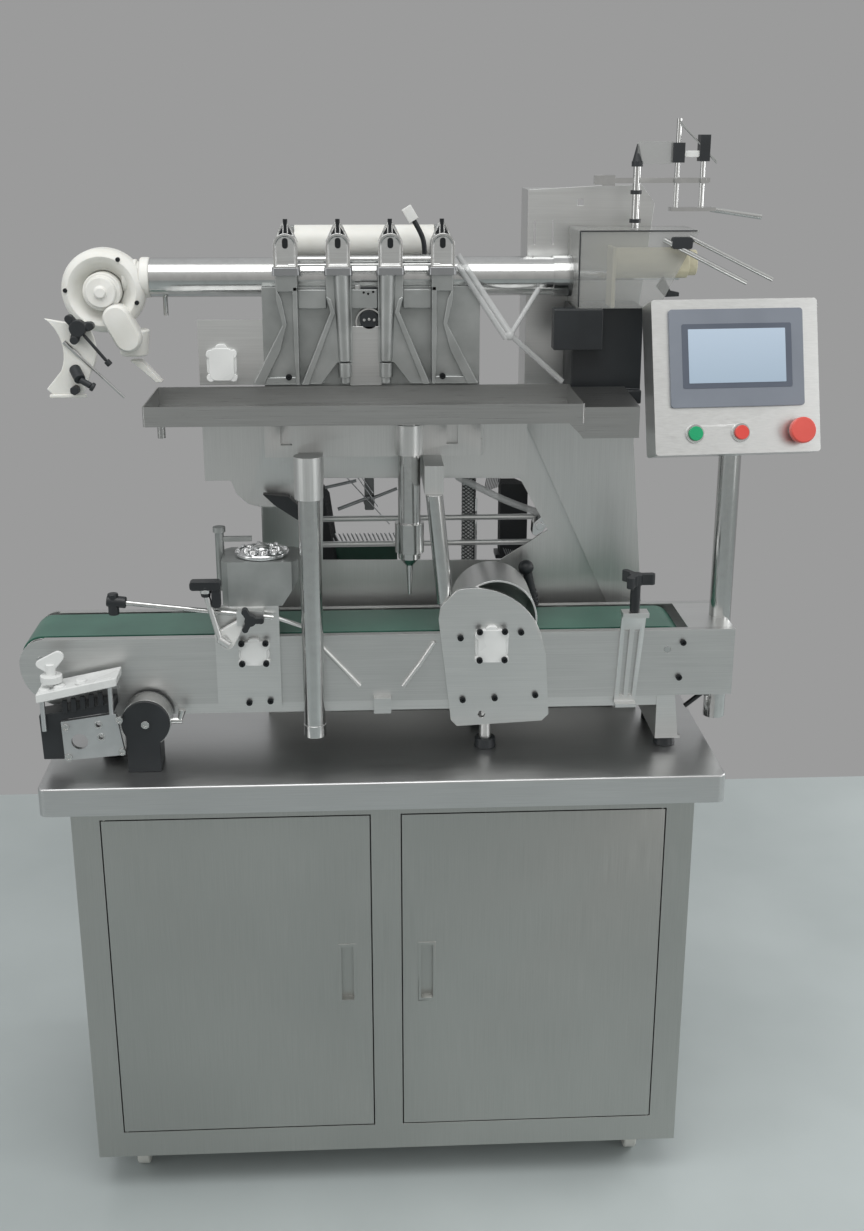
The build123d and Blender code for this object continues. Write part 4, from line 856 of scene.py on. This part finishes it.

# %% [markdown]
# ## Rods, grips and the belt's drive
# The guide rod ends in a black clamp, and the elbow beside it carries a black cross grip and a white
# paddle. The paddle is the tight skin round a few circles. The drive is a bright plate on black housings,
# with a white rail on top, a pale wing nut, and a polished rim and screw on the round housing.

# %% Grips on the guide rod and the elbow
rod_grip = bmesh.new()
bar(rod_grip, (-486, -203, 1056.2), (-456, -203, 1052.4), 9.2)
bar(rod_grip, (-476, -203, 1068), (-476, -203, 1033), 8.4)
finished("guide_rod_grip", rod_grip, black_abs, body="guide_rod", bevel=2)
cross_grip = bmesh.new()
slab(cross_grip, (-355, -222, 1075), (-307, -204, 1090), 5)
bar(cross_grip, (-331, -213, 1080), (-331, -213, 1063), 9.6, end_radius=7)
slab(cross_grip, (-322, -220, 1046), (-308, -206, 1078), 4)
finished("cross_grip", cross_grip, black_abs, bevel=1.6)
paddle = bmesh.new()
PADDLE_RINGS = (((-314, 997), 7), ((-301, 986), 12), ((-284, 1012), 9))
hull(paddle, [(Vector((x, y, z)), (0, 1, 0), r) for (x, z), r in PADDLE_RINGS for y in (-212.6, -202)])
finished("elbow_paddle", paddle, white_acetal, bevel=2.5)

# %% Drive rail, rim and screws
drive_rail = bmesh.new()
prism(drive_rail, [(-598, -252, 904.5), (-472, -252, 931), (-471, -252, 945.5), (-598, -252, 919.5)], (0, 54, 0))
for x, z in ((-586, 919), (-562, 924), (-528, 933)):
    bar(drive_rail, (x, -238, z), (x, -238, z + 7), 11, end_radius=8)
finished("drive_rail", drive_rail, white_enamel, bevel=2.0)
drive_bright = bmesh.new()
turned(drive_bright, ((36, 4), (38.6, 4), (39.4, 6), (39.4, 44), (36, 44), (36, 4)), (-433, -192, 862), (0, -1, 0))
for x, z, y, radius in (
    (-433, 862, -240, 6.5), (-556, 863, -248, 6), (-472, 874, -248, 6), (-471, 820, -248, 6), (-555, 812, -248, 6),
):
    turned(drive_bright, ((0, 0), (radius, 0), (radius, 4), (radius * 0.55, 4), (radius * 0.5, 1.5), (0, 1.5)),
           (x, y, z), (0, -1, 0), sides=24)
for x, z in ((-505, 866), (-502, 845)):
    turned(drive_bright, ((4, 0), (6.4, 0), (6.4, 1.2), (4, 1.2), (4, 0)), (x, -248, z), (0, -1, 0), sides=24)
bar(drive_bright, (-398, -214, 857), (-378, -214, 857), 5)
bar(drive_bright, (-382, -214, 858), (-377, -214, 876), 4, end_radius=6)
finished("drive_screws", drive_bright, steel_polished, bevel=0.4)
drive_ribs = bmesh.new()
for k in range(5):
    slab(drive_ribs, (-560 + 14 * k, -243, 884 + 3 * k), (-552 + 14 * k, -238, 906 + 3 * k), 1.5)
finished("drive_ribs", drive_ribs, black_abs, bevel=0.6)
wing = bmesh.new()
bar(wing, (-576, -228, 924.6), (-576, -228, 962), 7.5)
bar(wing, (-576, -228, 932), (-576, -228, 944), 17)
WING_RINGS = (((-591, 962), 7), ((-563, 974), 9), ((-578, 956), 9))
hull(wing, [(Vector((x, y, z)), (0, 1, 0), r) for (x, z), r in WING_RINGS for y in (-231, -225)])
finished("wing_nut", wing, white_enamel, body="wing_knob", bevel=1.4, node_names=("wing_knob",))

# %% [markdown]
# ## Sensor stand and guard details
# The guard's sheet has a dark sealing edge, and a black foot inside it. Over the guard, the stand
# carries a clear reflector plate between its blocks, a white clip, and two taut tie wires.

# %% Guard edge, reflector plate and tie wires
guard_darks = bmesh.new()
bar(guard_darks, (261, -60.8, 1486), (261, -60.8, 1603), 1.1, sides=12)
bar(guard_darks, (261, -60.8, 1603), (445, -60.8, 1603), 1.1, sides=12)
prism(
    guard_darks,
    [(388, -48, 1516), (398, -48, 1532), (410, -48, 1510), (424, -48, 1507), (424, -48, 1501), (402, -48, 1500)],
    (0, 10, 0),
)
slab(guard_darks, (404, -74, 1576), (436, -60.5, 1594), 4)
finished("guard_edge", guard_darks, black_abs, bevel=0.5)
reflector = bmesh.new()
slab(reflector, (356, -5, 1702), (413, -2, 1736), 2)
finished("reflector_plate", reflector, guard_clear, bevel=0.5)
stand_brights = bmesh.new()
for rise in (0, 3):
    bar(stand_brights, (421, -3, 1767 - rise), (482, -8, 1703 + rise), 1.3, sides=12)
slab(stand_brights, (289, -7, 1671), (322, 5, 1685), 1)
bar(stand_brights, (421, -12, 1677), (421, -4, 1677), 5, sides=20)
bar(stand_brights, (462, -12, 1677), (462, -4, 1677), 5, sides=20)
finished("tie_wires", stand_brights, steel_polished, bevel=0.2)
clip = bmesh.new()
slab(clip, (430, -8, 1712), (454, 4, 1722), 2)
finished("white_clip", clip, white_acetal, bevel=0.8)

# %% [markdown]
# ## Operator panel
# The touch panel's bezel is one moulding with a step down to the glass. The display shines through
# the glass, so it is a slab of its own, set back 1 mm in a dark frame. Everything is drawn on the
# panel's own plane and then turned to the panel's tilt and yaw.

# %% Panel plane, frame and display
TILT = radians(16)
YAW = radians(5)
panel_out = Vector((sin(YAW) * cos(TILT), -cos(YAW) * cos(TILT), sin(TILT)))
panel_across = Vector((cos(YAW), sin(YAW), 0))
panel_up = panel_out.cross(panel_across)
on_panel = Matrix.Translation((491, -180, 1394)) @ Matrix((panel_across, panel_up, panel_out)).transposed().to_4x4()
screen_rim = bmesh.new()
slab(screen_rim, (-87, -18, 4.6), (87, 80, 5.4), 3, axis=2, place=on_panel)
finished("screen_rim", screen_rim, screen_frame, body="panel", bevel=0.2)
display = bmesh.new()
slab(display, (-77, -10, 4.5), (77, 72, 5.9), 1, axis=2, place=on_panel)
finished("display_glass", display, screen_lit, body="panel")

# %% Button collars
collars = bmesh.new()
for spot_x, outer in ((-69, 14.7), (4, 14.7), (97, 14.7)):
    spot = on_panel @ Vector((spot_x, -86, 0))
    turned(collars, ((11.3, 0), (14.7, 0), (14.7, 2.2), (13.6, 3.6), (11.3, 3.6), (11.3, 0)), spot, panel_out)
finished("button_collars", collars, steel_polished, body="panel")
stop_base = bmesh.new()
spot = on_panel @ Vector((97, -86, 0))
turned(stop_base, ((11.3, 3), (14.5, 3), (14.5, 8), (11.3, 8), (11.3, 3)), spot, panel_out)
finished("estop_base", stop_base, black_abs, body="panel", bevel=0.4)

# %% [markdown]
# ## Things behind the column's window
# The window shows the works in the column: a braided supply hose, a dark finned cooler at the left
# and right, a flat green plate, thin link rods, and a chromed bracket at the right corner. They
# stand inside the column, so they are seen from the back as well.

# %% Braided hose
braid_shape = bmesh.new()
bmesh.ops.create_circle(
    braid_shape, cap_ends=False, radius=12.4, segments=24, matrix=Matrix.Translation((99, 62, 790))
)
ring = list(braid_shape.edges)
turn_step = Matrix.Rotation(radians(9), 4, "Z")
for lift in range(52):
    grown = bmesh.ops.extrude_edge_only(braid_shape, edges=ring)
    new_verts = [item for item in grown["geom"] if isinstance(item, bmesh.types.BMVert)]
    ring = [item for item in grown["geom"] if isinstance(item, bmesh.types.BMEdge)
            and all(vert in new_verts for vert in item.verts)]
    bmesh.ops.translate(braid_shape, vec=(0, 0, 8), verts=new_verts)
    bmesh.ops.rotate(braid_shape, cent=(99, 62, 0), matrix=turn_step, verts=new_verts)
bmesh.ops.holes_fill(braid_shape, edges=braid_shape.edges, sides=0)
finished("braided_hose", braid_shape, braid_steel, smooth=60)

# %% Coolers, green plate and links
cooler = bmesh.new()
for k in range(12):
    prism(
        cooler,
        [(-160 + 1.2 * k, 96 + 4 * k, 1176 - 3 * k), (-156 + 1.2 * k, 96 + 4 * k, 1176 - 3 * k),
         (-134 + 0.6 * k, 96 + 4 * k, 1026), (-160 + 1.2 * k, 96 + 4 * k, 1026)],
        (0, 1.6, 0),
    )
slab(cooler, (-164, 96, 1022), (-128, 144, 1028), 1, axis=2)
for k in range(9):
    slab(cooler, (157, 92 + 5 * k, 1036), (205 - 2 * k, 93.6 + 5 * k, 1166), 4)
slab(cooler, (150, 92, 1030), (206, 136, 1037), 2, axis=2)
finished("finned_coolers", cooler, black_abs, bevel=0.3)
# A flat green plate stands behind the window.
board = bmesh.new()
slab(board, (-143, 118, 1018), (-24, 121, 1058), 1)
finished("green_plate", board, plate_green, bevel=0.3)
hatch = bmesh.new()
for k in range(16):
    bar(hatch, (-142 + 7.4 * k, 114, 1074), (-132 + 7.4 * k, 112, 1052), 1.5, sides=10)
for k in range(9):
    bar(hatch, (157 + 5 * k, 96, 1064 - 2 * k), (170 + 3.5 * k, 90, 1034), 1.2, sides=10)
    bar(hatch, (134 + 3 * k, 96, 1180), (128 + 3 * k, 92, 1152 + k), 1.0, sides=10)
for start, end, radius in (
    ((-150, 104, 1160), (-95, 104, 1172), 3.0),
    ((-128, 100, 1122), (-72, 104, 1142), 3.4),
    ((-70, 100, 1140), (-24, 100, 1158), 3.0),
    ((-112, 96, 1180), (-38, 92, 1096), 0.9),
    ((-92, 92, 1180), (-58, 92, 1128), 0.9),
    ((-86, 98, 1180), (-66, 98, 1150), 0.9),
):
    bar(hatch, start, end, radius, sides=14)
finished("link_rods", hatch, steel_zinc)
strap = bmesh.new()
slab(strap, (-81, 106, 1118), (-64, 112, 1176), 3)
bar(strap, (-73, 104, 1134), (-73, 114, 1134), 10)
finished("link_strap", strap, steel_dark, bevel=0.6)
bracket_chrome = bmesh.new()
prism(bracket_chrome, [(205, 6, 1116), (226, 6, 1134), (232, 6, 1116), (214, 6, 1090), (204, 6, 1098)], (0, 26, 0))
bar(bracket_chrome, (216, 2, 1112), (216, 8, 1112), 7)
slab(bracket_chrome, (109, 52, 1040), (113, 60, 1150), 1, axis=2)
finished("window_bracket", bracket_chrome, chrome, bevel=1.0)

# %% [markdown]
# ## Under the head
# Between the head and the tray hang the nozzle lift's finned strips and its clamps, and a black
# blade stands out to the left of the front pillar. Right of the hood a black ball lever sets its
# height.

# %% Head underside
lift_fins = bmesh.new()
for k in range(18):
    slab(lift_fins, (-156 + 4 * k, -66, 1291), (-154 + 4 * k, -61, 1303), 0.5)
for k in range(11):
    slab(lift_fins, (-68 + 4 * k, -66, 1291), (-66 + 4 * k, -61, 1303), 0.5)
finished("lift_fins", lift_fins, white_acetal)
lift = bmesh.new()
slab(lift, (-206, -72, 1252), (112, -61, 1280), 6)
for x in (-188, -180, -168, 62, 70, 80):
    bar(lift, (x, -66, 1262), (x, -66, 1310), 3.2, sides=16)
slab(lift, (-208, -70, 1256), (-160, -60.5, 1312), 5)
slab(lift, (58, -70, 1256), (112, -60.5, 1312), 5)
finished("nozzle_lift_plates", lift, steel_level_painted_lighter, bevel=1.0)
blade = bmesh.new()
prism(blade, [(-246, -84, 1194), (-206, -84, 1190), (-190, -84, 1176), (-190, -84, 1150), (-228, -84, 1176)], (0, 18, 0))
finished("black_blade", blade, black_abs, bevel=1.0)
ball = bmesh.new()
bar(ball, (203, -40, 989), (191, -40, 1046), 8)
bmesh.ops.create_uvsphere(ball, u_segments=24, v_segments=16, radius=13, matrix=Matrix.Translation((189, -40, 1052)))
for k in range(5):
    bar(ball, (203.5 - 1.2 * k, -40, 987 + 5.5 * k), (203 - 1.2 * k, -40, 990 + 5.5 * k), 9.4)
finished("hood_lever", ball, black_abs, smooth=50)

# %% [markdown]
# ## Sensor lead
# A short lead stands up from its gland on the barrel and ends in a white connector. It is a length
# of 8 mm cable, so it is one smooth curve through the points of its route.

# %% Sensor lead and connector
lead_route_mm = ((21, 17, 1563.5), (21, 17, 1579.5), (15, 17, 1597.5), (4, 17, 1615.5))
lead_curve = bpy.data.curves.new("sensor_lead_cable", "CURVE")
lead_curve.dimensions = "3D"
lead_curve.bevel_depth = 0.004
lead_curve.bevel_resolution = 6
lead_curve.use_fill_caps = True
spline = lead_curve.splines.new("NURBS")
spline.points.add(len(lead_route_mm) - 1)
for point, place_mm in zip(spline.points, lead_route_mm):
    point.co = (*(v / 1000 for v in place_mm), 1)
spline.order_u = 3
spline.use_endpoint_u = True
lead = bpy.data.objects.new("sensor_lead_cable", lead_curve)
lead_curve.materials.append(black_abs)
bpy.context.collection.objects.link(lead)
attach(lead, "machine")
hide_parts("sensor_lead")
connector = dressed("lead_connector", white_acetal, 1.0)

# %% [markdown]
# ## Floor, light and room
# The room is plain: a pale grey-blue floor that ends at a grey wall. The world is that wall's grey
# near the horizon and lighter overhead, so polished tube has a bright top and a calm middle.

# %% Floor
WALL_Y_M = 1.36
floor_shape = bmesh.new()
bmesh.ops.create_grid(floor_shape, x_segments=1, y_segments=1, size=1)
bmesh.ops.scale(floor_shape, vec=(6, 4, 1), verts=floor_shape.verts)
bmesh.ops.translate(floor_shape, vec=(0, WALL_Y_M - 4, 0), verts=floor_shape.verts)
floor_mesh = bpy.data.meshes.new("floor")
floor_shape.to_mesh(floor_mesh)
floor_shape.free()
floor_paint, tree, shader, place = new_material("pale epoxy floor")
mottle = add(tree, "ShaderNodeTexNoise", sockets={"Scale": 1.4, "Detail": 6.0}, links={"Vector": place}).outputs["Fac"]
tree.links.new(ramp(tree, mottle, 0.3, 0.7, linear("#a3abab"), linear("#b4bcbc")), shader.inputs["Base Color"])
shader.inputs["Roughness"].default_value = 0.32
floor_mesh.materials.append(floor_paint)
floor = bpy.data.objects.new("floor", floor_mesh)
bpy.context.collection.objects.link(floor)

# %% World and lamps
world = bpy.data.worlds.new("grey room")
bpy.context.scene.world = world
world.use_nodes = True
sky = world.node_tree
direction = add(sky, "ShaderNodeTexCoord").outputs["Generated"]
parts = add(sky, "ShaderNodeSeparateXYZ", links={"Vector": direction})
wall = ramp(sky, parts.outputs["Z"], 0.12, 0.9, linear("#9b9b9b"), linear("#d2d3d4"))
hall = ramp(sky, parts.outputs["Z"], 0.0, 0.6, linear("#b6b5b3"), linear("#dcdcda"))
facing = add(
    sky,
    "ShaderNodeMapRange",
    sockets={"From Min": 0.25, "From Max": -0.35, "To Min": 0.0, "To Max": 1.0},
    links={"Value": parts.outputs["Y"]},
    interpolation_type="SMOOTHSTEP",
).outputs["Result"]
room = add(sky, "ShaderNodeMix", data_type="RGBA")
sky.links.new(facing, room.inputs["Factor"])
sky.links.new(wall, room.inputs["A"])
sky.links.new(hall, room.inputs["B"])
sky.links.new(room.outputs["Result"], sky.nodes["Background"].inputs["Color"])
sky.nodes["Background"].inputs["Strength"].default_value = 1.0


def lamp(name, place_m, aim_m, width, height, watts):
    """Add a soft rectangular lamp that faces a point."""
    data = bpy.data.lights.new(name, "AREA")
    data.shape = "RECTANGLE"
    data.size = width
    data.size_y = height
    data.energy = watts
    made = bpy.data.objects.new(name, data)
    made.location = place_m
    made.rotation_euler = (Vector(aim_m) - Vector(place_m)).to_track_quat("-Z", "Y").to_euler()
    bpy.context.collection.objects.link(made)


lamp("ceiling panel", (-0.3, -1.2, 3.4), (0, 0, 0.9), 2.4, 1.6, 36)
lamp("left window", (-2.8, -1.6, 1.9), (0, 0, 1.0), 1.0, 2.2, 13)
lamp("right fill", (2.6, -2.0, 1.7), (0, 0, 1.0), 0.9, 2.0, 14)
lamp("right doorway", (2.7, 0.5, 1.7), (1.3, -0.2, 0.0), 1.2, 1.4, 26)

# %% Colour handling
bpy.context.scene.view_settings.view_transform = "Standard"
